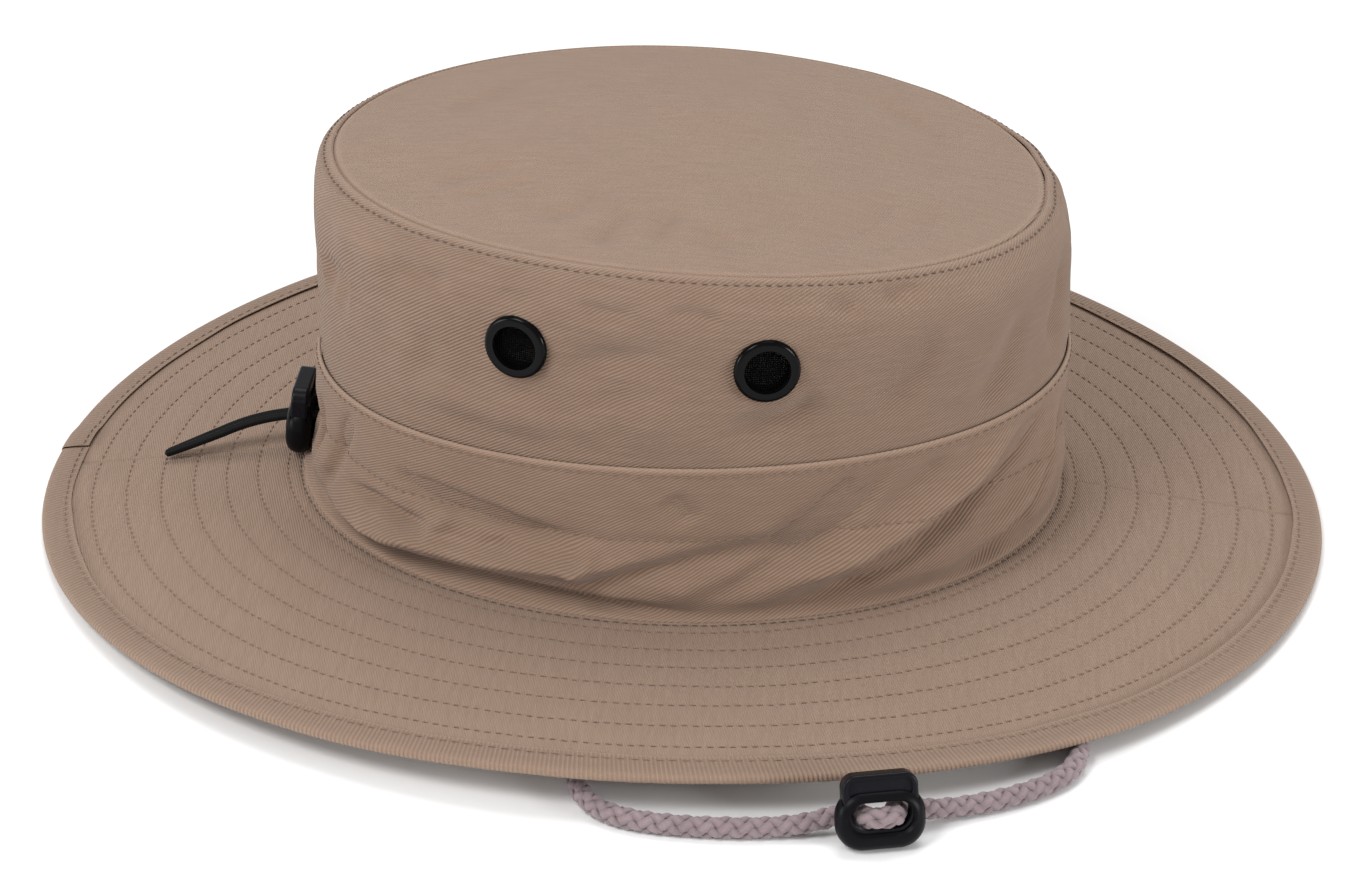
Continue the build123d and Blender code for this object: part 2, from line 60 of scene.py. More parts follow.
# ---- driving sizes, as in the CAD ------------------------------------------------------------------
BRIM_WIDTH = 70.0
BASE_A, BASE_B = 97.3, 81.4
DROOP_MEAN, DROOP_SADDLE = 3.86, 3.73
CLOTH, INTERLINING, PLY_GAP, WALL = 0.45, 0.5, 0.05, 1.1
BINDING_REACH, BINDING_CLOTH = 7.5, 0.4
CINCH_BACK = 2.0
BAND_CLOTH = 0.9
BAND_OPENING = 10.0
DRAWCORD_D = 2.1
CHIN_CORD_D = 5.0
VENT_R = 8.0
TIP_DOME = 5.0
SIDE_SAG, SAG_TOWARDS, SAG_CURVE = 5.8, 100.0, 1.6
BAND_HEIGHT, SHOULDER_HEIGHT = 39.6, 82.4
BRIM_PLIES = 2 * CLOTH + INTERLINING + 2 * PLY_GAP
SEAM_Z = BRIM_WIDTH * sin(radians(DROOP_MEAN + DROOP_SADDLE)) + BRIM_PLIES + PLY_GAP + BINDING_CLOTH
DRAWCORD_Z = SEAM_Z + 10.0
CHANNEL_AIR = 0.45
CORD_INSET = BAND_CLOTH + CHANNEL_AIR + DRAWCORD_D / 2
CHANNEL_INSET = CORD_INSET + DRAWCORD_D / 2 + CHANNEL_AIR
SWEAT_INSET = CHANNEL_INSET + WALL + 1.0
SWEAT_CLOTH = 1.0
SWEAT_HEIGHT = 30.0
SWEAT_LEAN = 1.0
SWEAT_SHIFT = 0.07
CHIN_Z = CHIN_CORD_D / 2 + 0.1
LOCK_BELOW = 7.8

# Each level of the crown's outer face: half length, half width, middle, height over the crown seam
# (mean, front-to-back, saddle) and how much of the drawcord's cinch reaches it.
LEVELS = {
    "seam": (BASE_A, BASE_B, 0.0, 0.15, 0.0, 0.0, 0.0),
    "low": (97.2, 81.4, 0.4, 5.0, 0.3, -0.2, 0.7),
    "cord": (97.1, 81.4, 0.7, 10.0, 0.7, -0.4, 1.0),
    "high": (96.9, 81.3, 1.2, 17.0, 1.2, -0.8, 1.0),
    "stitch": (96.8, 81.2, 1.6, 22.0, 1.6, -1.0, 0.6),
    "swell": (96.6, 81.1, 2.2, 31.0, 2.2, -1.4, 0.2),
    "band_top": (96.5, 81.06, 2.7, BAND_HEIGHT, 2.8, -1.8, 0.0),
    "middle": (95.6, 80.6, 2.2, 62.0, 0.0, -2.2, 0.0),
    "shoulder": (94.2, 80.1, 1.5, SHOULDER_HEIGHT, -4.1, -2.5, 0.0),
    "turn": (92.6, 78.5, 1.4, 86.6, -4.1, -2.5, 0.0),
    "tip": (89.4, 75.35, 1.35, 88.2, -4.1, -2.5, 0.0),
}
SIDES = {"right": (180.0, 360.0), "left": (0.0, 180.0)}
TAPE_MEETS = 177.2  # degrees round, where the bias tape's ends lap
QUILT_ROWS = [5.6, 13.6, 21.8, 30.3, 39.0, 48.0, 57.0]  # outwards from the crown seam
QUILT_DEEP = 0.15  # how far a row of stitches pulls the cloth in
BASE_STITCHES = 2.2  # the row beside the hatband's foot, from the crown seam


# ---- lines, noise and easing -----------------------------------------------------------------------
def unit(vectors):
    """Vectors along an array's last axis, scaled to length 1."""
    return vectors / np.linalg.norm(vectors, axis=-1, keepdims=True)


def spans(points):
    """The distance from each point of a line to the next."""
    return np.linalg.norm(np.diff(points, axis=0), axis=1)


def run_along(points):
    """The length of a line up to each of its points."""
    return np.concatenate([[0], np.cumsum(spans(points))])


def points_at(points, run, where):
    """The points of a line, or the normals along it, at lengths where along it."""
    return np.stack([np.interp(where, run, points[:, k]) for k in range(3)], -1)


def evenly(points, step):
    """The same line cut into equal steps, and the length up to each new point."""
    run = run_along(points)
    where = np.linspace(0, run[-1], max(2, ceil(run[-1] / step)) + 1)
    return points_at(points, run, where), where


def value_noise(seed, *coordinates):
    """Smooth seeded noise in -1..1 at arrays of coordinates, whose unit is one lattice cell."""
    grids = [np.asarray(c, float) for c in coordinates]
    low = [np.floor(g).astype(np.int64) for g in grids]
    part = [g - l for g, l in zip(grids, low)]
    ease = [p * p * p * (p * (p * 6 - 15) + 10) for p in part]
    total = 0.0
    count = len(grids)
    for corner in range(2 ** count):
        mixed = np.int64(seed * 7919 + 101)
        weight = 1.0
        for axis in range(count):
            step = corner >> axis & 1
            mixed = (mixed * 73856093) ^ ((low[axis] + step) * (19349663 + 64 * axis))
            weight = weight * (ease[axis] if step else 1 - ease[axis])
        mixed = (mixed ^ (mixed >> 13)) * 1274126177
        mixed = mixed ^ (mixed >> 16)
        total = total + weight * ((mixed & 65535) / 32767.5 - 1.0)
    return total


def noise_round(seed, phi, scale, *more):
    """Noise that closes on itself round the hat."""
    return value_noise(seed, np.cos(phi) * scale, np.sin(phi) * scale, *more)


def bump_shape(distance, width):
    """A smooth hump of height 1 at distance 0."""
    return np.exp(-(distance / width) ** 2)


def ease_between(value, start, end):
    """0 before start, 1 after end, smooth between."""
    share = np.clip((value - start) / (end - start), 0.0, 1.0)
    return share * share * (3 - 2 * share)


# ---- the hat's shape -------------------------------------------------------------------------------
def out_from(phi):
    """Outward unit normal of the crown seam's oval, in plan, at an array of angles."""
    x, y = np.cos(phi) / BASE_A, np.sin(phi) / BASE_B
    size = np.hypot(x, y)
    return x / size, y / size


def pushed_out(grid, phi, offset):
    """A grid of points, moved level and outwards by offset."""
    nx, ny = out_from(phi)
    return grid + np.stack([nx * offset, ny * offset, 0 * offset], -1)


def cinch(phi):
    """How far the drawcord pulls the crown in."""
    return CINCH_BACK * np.maximum(0.0, -np.cos(phi)) ** 4


def side_sag(ahead, left, height):
    """How far the soft crown has sunk, at shares of its oval's half length and half width."""
    reached = np.clip((height - BAND_HEIGHT) / (SHOULDER_HEIGHT - BAND_HEIGHT), 0, 1)
    towards = ahead * cos(radians(SAG_TOWARDS)) + left * sin(radians(SAG_TOWARDS))
    return SIDE_SAG * reached * np.maximum(0.0, towards) ** SAG_CURVE


def brim_ripple(phi, along):
    """The brim's loose waves: none at the crown seam, and none where the hat stands."""
    share = ease_between(along, 4.0, BRIM_WIDTH)
    standing = np.sin(phi) ** 2
    wave = np.sin(3 * phi + 0.6) * 0.5 + np.sin(5 * phi + 2.0) * 0.35
    small = noise_round(5, phi, 5, along / 26.0)
    return share * standing * 0.8 * wave + 0.35 * ease_between(along, 3.0, 14.0) * small * standing


def brim_point(phi, along, lift):
    """Points of the brim: along it from the crown seam, and lifted off its top face."""
    nx, ny = out_from(phi)
    fall = np.where(along > 0, np.radians(DROOP_MEAN + DROOP_SADDLE * np.cos(2 * phi)), 0.0)
    lift = lift + brim_ripple(phi, along)
    out = along * np.cos(fall) + lift * np.sin(fall)
    up = -along * np.sin(fall) + lift * np.cos(fall)
    x = BASE_A * np.cos(phi) + nx * out
    y = BASE_B * np.sin(phi) + ny * out
    return np.stack([x, y, SEAM_Z + up + 0 * x], -1)


def brim_up(phi, along):
    """The direction off the brim's top face."""
    return brim_point(phi, along, 1.0) - brim_point(phi, along, 0.0)


def level_points(phi, inset, names):
    """The crown's levels at each phi, as an array of level by angle by 3."""
    nx, ny = out_from(phi)
    rows = []
    for name in names:
        a, b, middle, height, slope, saddle, drawn = LEVELS[name]
        inward = inset.get(name, 0.0) + drawn * cinch(phi)
        z = SEAM_Z + height + slope * np.cos(phi) + saddle * np.cos(2 * phi)
        z = z - side_sag(np.cos(phi), np.sin(phi), height)
        x = middle + a * np.cos(phi) - nx * inward
        rows.append(np.stack([x, b * np.sin(phi) - ny * inward, z], -1))
    return np.array(rows)


def curve_through(knots, steps):
    """A smooth curve through rows of points, cut into equal steps, and the mean length up to each."""
    gaps = np.linalg.norm(np.diff(knots, axis=0), axis=2).mean(1)
    at = np.concatenate([[0], np.cumsum(gaps)])
    slopes = np.gradient(knots, at, axis=0)
    want = np.linspace(0, at[-1], steps + 1)
    piece = np.clip(np.searchsorted(at, want, side="right") - 1, 0, len(at) - 2)
    width = at[piece + 1] - at[piece]
    t = ((want - at[piece]) / width)[:, None, None]
    h = width[:, None, None]
    p0, p1 = knots[piece], knots[piece + 1]
    m0, m1 = slopes[piece] * h, slopes[piece + 1] * h
    t2, t3 = t * t, t * t * t
    points = (2 * t3 - 3 * t2 + 1) * p0 + (t3 - 2 * t2 + t) * m0 + (3 * t2 - 2 * t3) * p1 + (t3 - t2) * m1
    return points, want


def around_length(phi):
    """The length round the oval from the front to each phi, for weaves."""
    fine = np.linspace(0, 4 * pi, 1441)
    oval = np.stack([BASE_A * np.cos(fine), BASE_B * np.sin(fine)], 1)
    return np.interp(np.mod(phi, 4 * pi), fine, run_along(oval))


def on_cloth(u, v):
    """Weave coordinates of a grid: how far along the cloth and how far across it."""
    return np.stack([u, v, 0 * u], -1)


# ---- folds and dents: each a line on the cloth -----------------------------------------------------
BAND_FOLD_SCALE, CROWN_FOLD_SCALE, TIP_FOLD_SCALE = 1.7, 2.6, 2.4  # every depth below is made so much more
BAND_FOLDS = [
    # points (degrees round, height over the seam), depth (negative goes in), width
    ([(203, 0.8), (219, 3.2), (231, 3.4), (245, 5.4), (256, 4.2), (268, 2.6), (275, 1.6)], -3.1, 1.7),
    ([(205, 4.0), (214, 4.6), (223, 7.2), (231, 9.8), (242, 10.6), (255, 12.4), (266, 15.2),
      (275, 17.4)], 2.0, 2.7),
    ([(224, 25.5), (229, 24.2), (237, 23.4), (244, 22.0), (250, 20.2), (257, 19.2)], -2.6, 2.4),
    ([(212, 14.2), (216, 14.0), (222, 14.8), (228, 14.0), (234, 14.2)], -2.0, 2.1),
    ([(237, 21), (233, 11.5)], 0.9, 2.4),
    ([(242, 12), (247.5, 17)], -0.8, 2.2),
    ([(258, 9), (266, 12.5), (276, 16), (286, 18.5), (297, 21)], -2.0, 2.8),
    ([(261, 20), (257, 9.5)], 1.4, 2.4),
    ([(268, 8.5), (277, 8.5), (287, 10.5)], 1.0, 3.0),
    ([(270, 33), (274, 25)], -0.9, 3.0),
    ([(342, 37), (337, 33.5), (330, 29), (323.7, 23), (317, 17.5), (309, 13), (302, 9.4), (294, 5.6),
      (284, 2.4)], -2.6, 2.8),
    ([(331, 38), (323, 31), (317, 25.5), (309, 20.5), (300.7, 15.6), (293, 11.8), (284, 9.0)], 2.0, 3.0),
    ([(351, 32), (347.5, 22), (342, 14), (335, 8), (327, 4.2), (317, 2.2)], -2.0, 2.8),
    ([(345, 34), (340, 22), (334, 14.5), (326, 10), (317, 7.5)], 1.3, 2.8),
    ([(304, 36), (298, 27), (290, 17), (281, 9.5), (272, 6)], -1.9, 3.0),
    ([(298, 38), (295.5, 32), (291, 25), (285, 19.5)], -1.1, 2.4),
    ([(314, 37), (306, 28), (300, 22)], -0.8, 3.0),
    ([(212, 36), (208, 24), (205, 12), (201, 4)], -1.5, 3.0),
    ([(194, 30), (196, 18), (192, 6)], -1.7, 2.6),
    ([(184.6, 24), (188, 14), (186.5, 5)], -1.7, 2.2),
    ([(175.4, 26), (171.5, 15), (174, 5)], -1.7, 2.2),
    ([(166, 33), (161, 20), (163, 7)], -1.9, 2.8),
    ([(150, 3.5), (138, 5.2), (126, 4.2), (114, 2.6)], -1.9, 1.9),
    ([(147, 30), (138, 19), (133, 10)], -1.7, 2.6),
    ([(118, 33), (110, 22), (99, 12), (88, 5)], -1.9, 2.9),
    ([(92, 20), (84, 16), (77, 20)], -1.4, 2.4),
    ([(76, 35), (66, 23), (55, 12), (45, 4.5)], -1.6, 2.6),
    ([(50, 33), (38, 20), (27, 9), (17, 2.8)], -1.5, 2.4),
    ([(20, 34), (12, 22), (8, 10)], -1.7, 2.6),
    ([(366, 33), (360, 20), (356, 8)], -1.5, 2.6),
]
CROWN_FOLDS = [
    ([(197, 62), (203, 66), (211, 64)], -1.4, 5.0),
    ([(206, 79), (214, 82), (226, 80)], 0.5, 5.0),
    ([(252, 63), (262, 70), (272, 72)], -0.5, 4.0),
    ([(278, 47), (284, 53), (293, 59)], -0.9, 4.5),
    ([(250, 50), (259, 53), (266, 49)], -0.6, 4.5),
    ([(300, 52), (308, 62), (312, 73)], -0.7, 4.5),
    ([(318, 46), (327, 55), (333, 68)], -0.9, 5.5),
    ([(226, 48), (232, 58), (231, 69)], -0.5, 5.0),
    ([(342, 48), (349, 60), (350, 72)], -0.9, 5.0),
    ([(24, 50), (31, 62), (30, 74)], -0.8, 5.0),
    ([(58, 48), (66, 58), (79, 62)], -0.8, 5.0),
    ([(104, 70), (113, 62), (120, 50)], -0.8, 5.0),
    ([(140, 48), (149, 58), (152, 70)], -0.9, 5.0),
    ([(222, 50), (236, 50.5), (250, 50.5), (262, 52), (274, 53)], 0.9, 4.6),
    ([(262, 54), (261, 65), (263, 75)], -0.6, 5.0),
    ([(225, 84), (231, 81.5), (237, 82)], -0.7, 2.4),
    ([(245, 84), (250, 80)], -0.6, 2.4),
    ([(257, 84), (262, 81), (266, 83)], -0.7, 2.4),
    ([(270, 84), (274, 82.5), (278, 80)], -0.8, 2.4),
    ([(293, 84), (298, 81.5)], -0.6, 2.4),
    ([(302, 82), (309, 84)], -0.6, 2.4),
]
TIP_FOLDS = [
    # here the points are (x, y)
    ([(30, -60), (44, -40), (54, -16)], -0.55, 4.0),
    ([(42, -58), (56, -38), (64, -20)], -0.5, 3.6),
    ([(12, -64), (24, -46), (30, -30)], -0.4, 4.0),
    ([(-61, -34), (-50, -26), (-38, -23)], -0.45, 3.2),
    ([(-55, -42), (-45, -35), (-34, -31)], -0.45, 3.2),
    ([(-34, -53), (-23, -44), (-17, -30)], -0.45, 3.2),
    ([(-19, -66), (-14, -54), (-11, -42)], -0.5, 3.0),
    ([(-5, -65), (-2, -52), (1, -40)], -0.5, 3.0),
    ([(8, -63), (12, -52)], -0.45, 3.0),
    ([(-66, 10), (-50, 24), (-40, 42)], -0.5, 5.0),
    ([(-10, 10), (8, 20), (26, 22)], 0.6, 16.0),
    ([(40, 44), (56, 28), (66, 8)], -0.5, 4.5),
]


def fold_height(x, y, folds):
    """The sum of folds at arrays of places. Each follows its line, and dies away towards its two ends."""
    total = np.zeros_like(x)
    for line, depth, width in folds:
        points = np.array(line, float)
        run = run_along(points)
        nearest = np.full_like(x, 1e9)
        where = np.zeros_like(x)
        for (x0, y0), (x1, y1), start, span in zip(points, points[1:], run, spans(points)):
            t = np.clip(((x - x0) * (x1 - x0) + (y - y0) * (y1 - y0)) / span ** 2, 0, 1)
            away = np.hypot(x - x0 - t * (x1 - x0), y - y0 - t * (y1 - y0))
            closer = away < nearest
            nearest = np.where(closer, away, nearest)
            where = np.where(closer, (start + t * span) / run[-1], where)
        ends = ease_between(where, -0.05, 0.3) * ease_between(1 - where, -0.05, 0.3)
        total = total + depth * ends * bump_shape(nearest, width)
    return total


def folds_round(phi, height, folds):
    """Folds given in degrees round, at arrays of phi and height. Both turns of the circle are tried."""
    scale = radians(1) * (BASE_A + BASE_B) / 2
    scaled = [([(d * scale, h) for d, h in line], depth, width) for line, depth, width in folds]
    total = 0.0
    for turn in (-2 * pi, 0.0, 2 * pi):
        total = total + fold_height(np.degrees(phi + turn) * scale, height, scaled)
    return total


# ---- meshes ----------------------------------------------------------------------------------------
def linked(obj):
    bpy.context.scene.collection.objects.link(obj)
    return obj


def mesh_object(name, points, faces, material, attributes=None):
    """A smooth mesh object from points in mm. attributes are a name and 1 or 3 numbers a vertex."""
    mesh = bpy.data.meshes.new(name)
    points = np.asarray(points, np.float64) * MM
    faces = np.asarray(faces, np.int64)
    mesh.vertices.add(len(points))
    mesh.vertices.foreach_set("co", points.astype(np.float32).ravel())
    mesh.loops.add(faces.size)
    mesh.loops.foreach_set("vertex_index", faces.astype(np.int32).ravel())
    mesh.polygons.add(len(faces))
    loop_starts = np.arange(0, faces.size, faces.shape[1], dtype=np.int32)
    mesh.polygons.foreach_set("loop_start", loop_starts)
    mesh.update(calc_edges=True)
    mesh.polygons.foreach_set("use_smooth", np.ones(len(faces), bool))
    for key, values in (attributes or {}).items():
        values = np.asarray(values, np.float32)
        kind, field = ("FLOAT_VECTOR", "vector") if values.ndim == 2 else ("FLOAT", "value")
        mesh.attributes.new(key, kind, "POINT").data.foreach_set(field, values.ravel())
    mesh.materials.append(material)
    mesh.validate()
    return linked(bpy.data.objects.new(name, mesh))


def belongs(piece, slot, *nodes):
    """The piece moves with the hat and stands for these CAD nodes, which are hidden; its slot is not used."""
    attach(piece, "hat")
    if nodes:
        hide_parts(*nodes)


def grid_faces(rows, columns, flip=False):
    """Quads of a grid whose vertices run row by row."""
    i, j = np.meshgrid(np.arange(rows - 1), np.arange(columns - 1), indexing="ij")
    a = (i * columns + j).ravel()
    quad = np.stack([a, a + 1, a + columns + 1, a + columns], 1)
    return quad[:, ::-1] if flip else quad


def grid_normals(grid):
    """Unit normals of a grid of points, rows by columns by 3, from its own slopes."""
    normal = np.cross(np.gradient(grid, axis=1), np.gradient(grid, axis=0))
    return normal / np.maximum(np.linalg.norm(normal, axis=2, keepdims=True), 1e-12)


def cloth_slab(name, grid, thick, weave, wear, material, flip=False):
    """A closed sheet of cloth: its face is grid (rows by columns by 3), its back lies thick behind it,
    and its edges are rounded by one more row of points half way."""
    rows, columns = grid.shape[:2]
    count = rows * columns
    back = grid - grid_normals(grid) * (-1 if flip else 1) * thick
    border = np.concatenate([
        np.arange(columns),
        np.arange(1, rows) * columns + columns - 1,
        (rows - 1) * columns + np.arange(columns - 2, -1, -1),
        np.arange(rows - 2, 0, -1) * columns,
    ])
    flat_grid, flat_back = grid.reshape(-1, 3), back.reshape(-1, 3)
    outward = 0.0
    for axis, at in enumerate(np.divmod(border, columns)):
        step = unit(np.gradient(grid, axis=axis).reshape(-1, 3)[border])
        end = (at == grid.shape[axis] - 1).astype(float) - (at == 0)
        outward = outward + step * end[:, None]
    middle = (flat_grid[border] + flat_back[border]) / 2 + unit(outward) * thick * 0.3
    edge = 2 * count + np.arange(len(border))
    after, edge_after = np.roll(border, -1), np.roll(edge, -1)
    front_rim = np.stack([border, after, edge_after, edge], 1)
    back_rim = np.stack([edge, edge_after, after + count, border + count], 1)
    if not flip:
        front_rim, back_rim = front_rim[:, ::-1], back_rim[:, ::-1]
    front, behind = grid_faces(rows, columns, flip), grid_faces(rows, columns, not flip) + count
    weave = weave.reshape(-1, 3)
    wear = np.broadcast_to(wear, grid.shape[:2]).reshape(-1)
    attributes = {
        "weave": np.concatenate([weave, weave, weave[border]]),
        "wear": np.concatenate([wear, wear, wear[border] + 0.5]),
    }
    points = np.concatenate([flat_grid, flat_back, middle])
    faces = np.concatenate([front, behind, front_rim, back_rim])
    return mesh_object(name, points, faces, material, attributes)


def whole_turn(sides):
    return np.linspace(0, 2 * pi, sides, endpoint=False)


def circle_across(side, other, turn):
    """Points of a unit circle across two axes, at each place of theirs."""
    return side[..., None, :] * np.cos(turn)[:, None] + other[..., None, :] * np.sin(turn)[:, None]


def tube_faces(rings, sides):
    """Quads of a tube whose vertices run ring by ring."""
    i, j = np.meshgrid(np.arange(rings - 1), np.arange(sides), indexing="ij")
    k = (j + 1) % sides
    quads = [i * sides + j, i * sides + k, (i + 1) * sides + k, (i + 1) * sides + j]
    return np.stack(quads, -1).reshape(-1, 4)


def carried_axes(line, start):
    """A line's direction, and two axes across it that don't twist, at each of its points. start is any
    direction that isn't the line's own."""
    along = unit(np.gradient(line, axis=0))
    side = np.cross(along[0], start)
    sides = []
    for direction in along:
        side = unit(side - direction * np.dot(side, direction))
        sides.append(side)
    sides = np.array(sides)
    return along, sides, np.cross(along, sides)


def swept_tube(path, radius, sides, closed_ends=True):
    """Points and faces of a tube along a path. radius is one number or one for each point."""
    count = len(path)
    radius = np.broadcast_to(radius, count)
    side, other = carried_axes(path, (0.31, 0.12, 0.94))[1:]
    rings = path[:, None] + radius[:, None, None] * circle_across(side, other, whole_turn(sides))
    points, faces = rings.reshape(-1, 3), tube_faces(count, sides)
    if not closed_ends:
        return points, faces
    caps = []
    for ring in (0, count - 1):
        middle = len(points)
        points = np.concatenate([points, path[ring][None]])
        for j in range(0, sides, 2):
            quad = [middle] + [ring * sides + (j + step) % sides for step in range(3)]
            caps.append(quad if ring else quad[::-1])
    return points, np.concatenate([faces, np.array(caps)])


class Bundle:
    """Collects many small parts into one mesh."""

    def __init__(self):
        self.points = []
        self.faces = []
        self.count = 0

    def add(self, points, faces):
        self.points.append(points)
        self.faces.append(np.asarray(faces) + self.count)
        self.count += len(points)

    def build(self, name, material, attributes=None):
        points, faces = np.concatenate(self.points), np.concatenate(self.faces)
        return mesh_object(name, points, faces, material, attributes)


STITCHES = {
    # pitch, length and thread radius
    "quilting": (2.6, 1.8, 0.14),
    "tape": (3.0, 2.3, 0.17),
    "topstitch": (2.5, 1.5, 0.14),
    "hatband": (2.9, 2.0, 0.17),
    "base": (2.4, 1.9, 0.14),
    "sweatband": (3.0, 2.2, 0.2),
    "label": (2.6, 1.9, 0.14),
}
STITCH_SIDES = 5
STITCH_SHARES = np.array([0.0, 0.16, 0.5, 0.84, 1.0])  # places along one stitch
STITCH_LIFTS = np.array([-0.3, 0.16, 0.24, 0.16, -0.3])  # its height over the cloth there
STITCH_SIZES = np.array([0.5, 1.0, 1.1, 1.0, 0.5])  # its thickness there


def stitch_row(bundle, line, normals, kind, seed):
    """Lays one thread stitch after another along a line of points, each dipping into the cloth."""
    pitch, length, radius = STITCHES[kind]
    run = run_along(line)
    count = int(run[-1] // pitch)
    jitter = np.random.default_rng(seed).normal(0, 1, (count, 3))
    starts = (np.arange(count) + 0.5) * run[-1] / count - length / 2 + jitter[:, 0] * 0.06
    reach = length * (1 + 0.06 * jitter[:, 1])
    where = np.clip(starts[:, None] + reach[:, None] * STITCH_SHARES[None], 0, run[-1])
    middle = points_at(line, run, where)
    up = unit(points_at(normals, run, where))
    along = unit(middle[:, -1:] - middle[:, :1])
    side = unit(np.cross(up, np.broadcast_to(along, up.shape)))
    middle = middle + up * STITCH_LIFTS[None, :, None] + side * (jitter[:, 2] * 0.07)[:, None, None]
    size = radius * STITCH_SIZES[None, :, None, None]
    rings = middle[:, :, None] + size * circle_across(side, up, whole_turn(STITCH_SIDES))
    one = tube_faces(len(STITCH_SHARES), STITCH_SIDES)
    first = np.arange(count) * len(STITCH_SHARES) * STITCH_SIDES
    bundle.add(rings.reshape(-1, 3), (one[None] + first[:, None, None]).reshape(-1, 4))


def sew(name, material, kind, rows, slot="khaki_tape"):
    """One mesh of stitches. Each row has its line, the cloth's normals along it, and its seed."""
    bundle = Bundle()
    for line, normals, seed in rows:
        stitch_row(bundle, line, normals, kind, seed)
    belongs(bundle.build(name, material), slot)


# ---- materials -------------------------------------------------------------------------------------
def new_material(name):
    material = bpy.data.materials.new(name)
    material.use_nodes = True
    tree = material.node_tree
    return material, tree, tree.nodes["Principled BSDF"]


def feed(tree, socket, value):
    """Links a node's output to a socket, or sets the socket to a number, a vector or a colour."""
    if hasattr(value, "node"):
        tree.links.new(value, socket)
    elif socket.type == "RGBA":
        socket.default_value = (*value, 1.0)
    else:
        socket.default_value = value


def node(tree, kind, inputs=None, **settings):
    """A new node. inputs are fed by name or number, and settings are the node's own."""
    made = tree.nodes.new(kind)
    for key, value in settings.items():
        setattr(made, key, value)
    for key, value in (inputs or {}).items():
        feed(tree, made.inputs[key], value)
    return made


def attribute(tree, name, output="Fac"):
    return node(tree, "ShaderNodeAttribute", attribute_name=name).outputs[output]


def object_place(tree):
    return node(tree, "ShaderNodeTexCoord").outputs["Object"]


def math_node(tree, operation, first, second):
    return node(tree, "ShaderNodeMath", {0: first, 1: second}, operation=operation).outputs[0]


def mix_colour(tree, share, first, second):
    return node(tree, "ShaderNodeMix", {0: share, 6: first, 7: second}, data_type="RGBA").outputs[2]


def scaled_vector(tree, source, scale, turn=0.0):
    inputs = {"Scale": scale, "Rotation": (0, 0, turn), "Vector": source}
    return node(tree, "ShaderNodeMapping", inputs).outputs["Vector"]


def noise_at(tree, vector, scale, detail=2.0, roughness=0.5):
    inputs = {"Vector": vector, "Scale": scale, "Detail": detail, "Roughness": roughness}
    return node(tree, "ShaderNodeTexNoise", inputs).outputs["Fac"]


def wave_at(tree, vector, pitch, distortion=0.0, detail_scale=1.0):
    """Bands across the vector's X, one each pitch of its units."""
    inputs = {
        "Vector": vector, "Scale": pi / 10 / pitch, "Distortion": distortion,
        "Detail Scale": detail_scale, "Detail": 1.0,
    }
    return node(tree, "ShaderNodeTexWave", inputs).outputs["Fac"]


def spread(tree, value, low, high, start=0.0, end=1.0):
    """Maps start..end onto low..high."""
    inputs = {"Value": value, "From Min": start, "From Max": end, "To Min": low, "To Max": high}
    return node(tree, "ShaderNodeMapRange", inputs).outputs["Result"]


def finish_shader(tree, shader, inputs, height, strength, depth):
    """Feeds the shader's inputs, and bumps its surface by height, depth mm at most."""
    for key, value in inputs.items():
        feed(tree, shader.inputs[key], value)
    bump = node(tree, "ShaderNodeBump", {"Height": height, "Strength": strength, "Distance": depth * MM})
    tree.links.new(bump.outputs["Normal"], shader.inputs["Normal"])


KHAKI = (0.292, 0.199, 0.144)
KHAKI_PALE = (0.335, 0.234, 0.175)
KHAKI_DARK = (0.15, 0.09, 0.058)


def cloth_material(name, turn, pitch, ridge, depth, mottle=1.0, colour=KHAKI, pale=KHAKI_PALE,
                   dark=KHAKI_DARK):
    """Woven cotton. The weave attribute gives each point's place on the cloth in mm, whatever its shape.
    turn is the twill lines' angle, pitch their spacing in mm, ridge their share of the colour, and depth
    their height in mm."""
    material, tree, shader = new_material(name)
    weave = attribute(tree, "weave", "Vector")
    wear = attribute(tree, "wear")

    def weave_noise(across, along, detail, roughness, turned=0.0):
        place = scaled_vector(tree, weave, (across, along, 1), turned)
        return noise_at(tree, place, 1.0, detail, roughness)

    twill = wave_at(tree, scaled_vector(tree, weave, (1, 1, 1), turn), pitch, 0.7, 0.5)
    yarn = weave_noise(0.35, 2.6, 3.0, 0.6, turn)
    cross = weave_noise(3.0, 3.0, 2.0, 0.6)
    patches = weave_noise(0.05, 0.05, 3.0, 0.55)
    slubs = weave_noise(0.09, 0.8, 2.0, 0.5)
    base = mix_colour(tree, spread(tree, patches, 0.0, 0.9 * mottle), colour, pale)
    base = mix_colour(tree, spread(tree, slubs, -0.15 * mottle, 0.45 * mottle), base, dark)
    grooves = math_node(tree, "MULTIPLY", math_node(tree, "SUBTRACT", 1.0, twill), ridge)
    base = mix_colour(tree, grooves, base, dark)
    base = mix_colour(tree, spread(tree, yarn, -0.1 * mottle, 0.3 * mottle), base, dark)
    worn = math_node(tree, "MULTIPLY", wear, spread(tree, cross, 0.1, 0.7))
    base = mix_colour(tree, worn, base, tuple(min(1.0, c * 1.35) for c in pale))
    height = math_node(tree, "ADD", twill, math_node(tree, "MULTIPLY", cross, 0.55))
    height = math_node(tree, "ADD", height, math_node(tree, "MULTIPLY", yarn, 0.5))
    finish_shader(tree, shader, {
        "Base Color": base,
        "Roughness": spread(tree, cross, 0.82, 0.97),
        "Sheen Weight": 0.12,
        "Sheen Roughness": 0.6,
        "Specular IOR Level": 0.2,
    }, height, 1.0, depth)
    return material


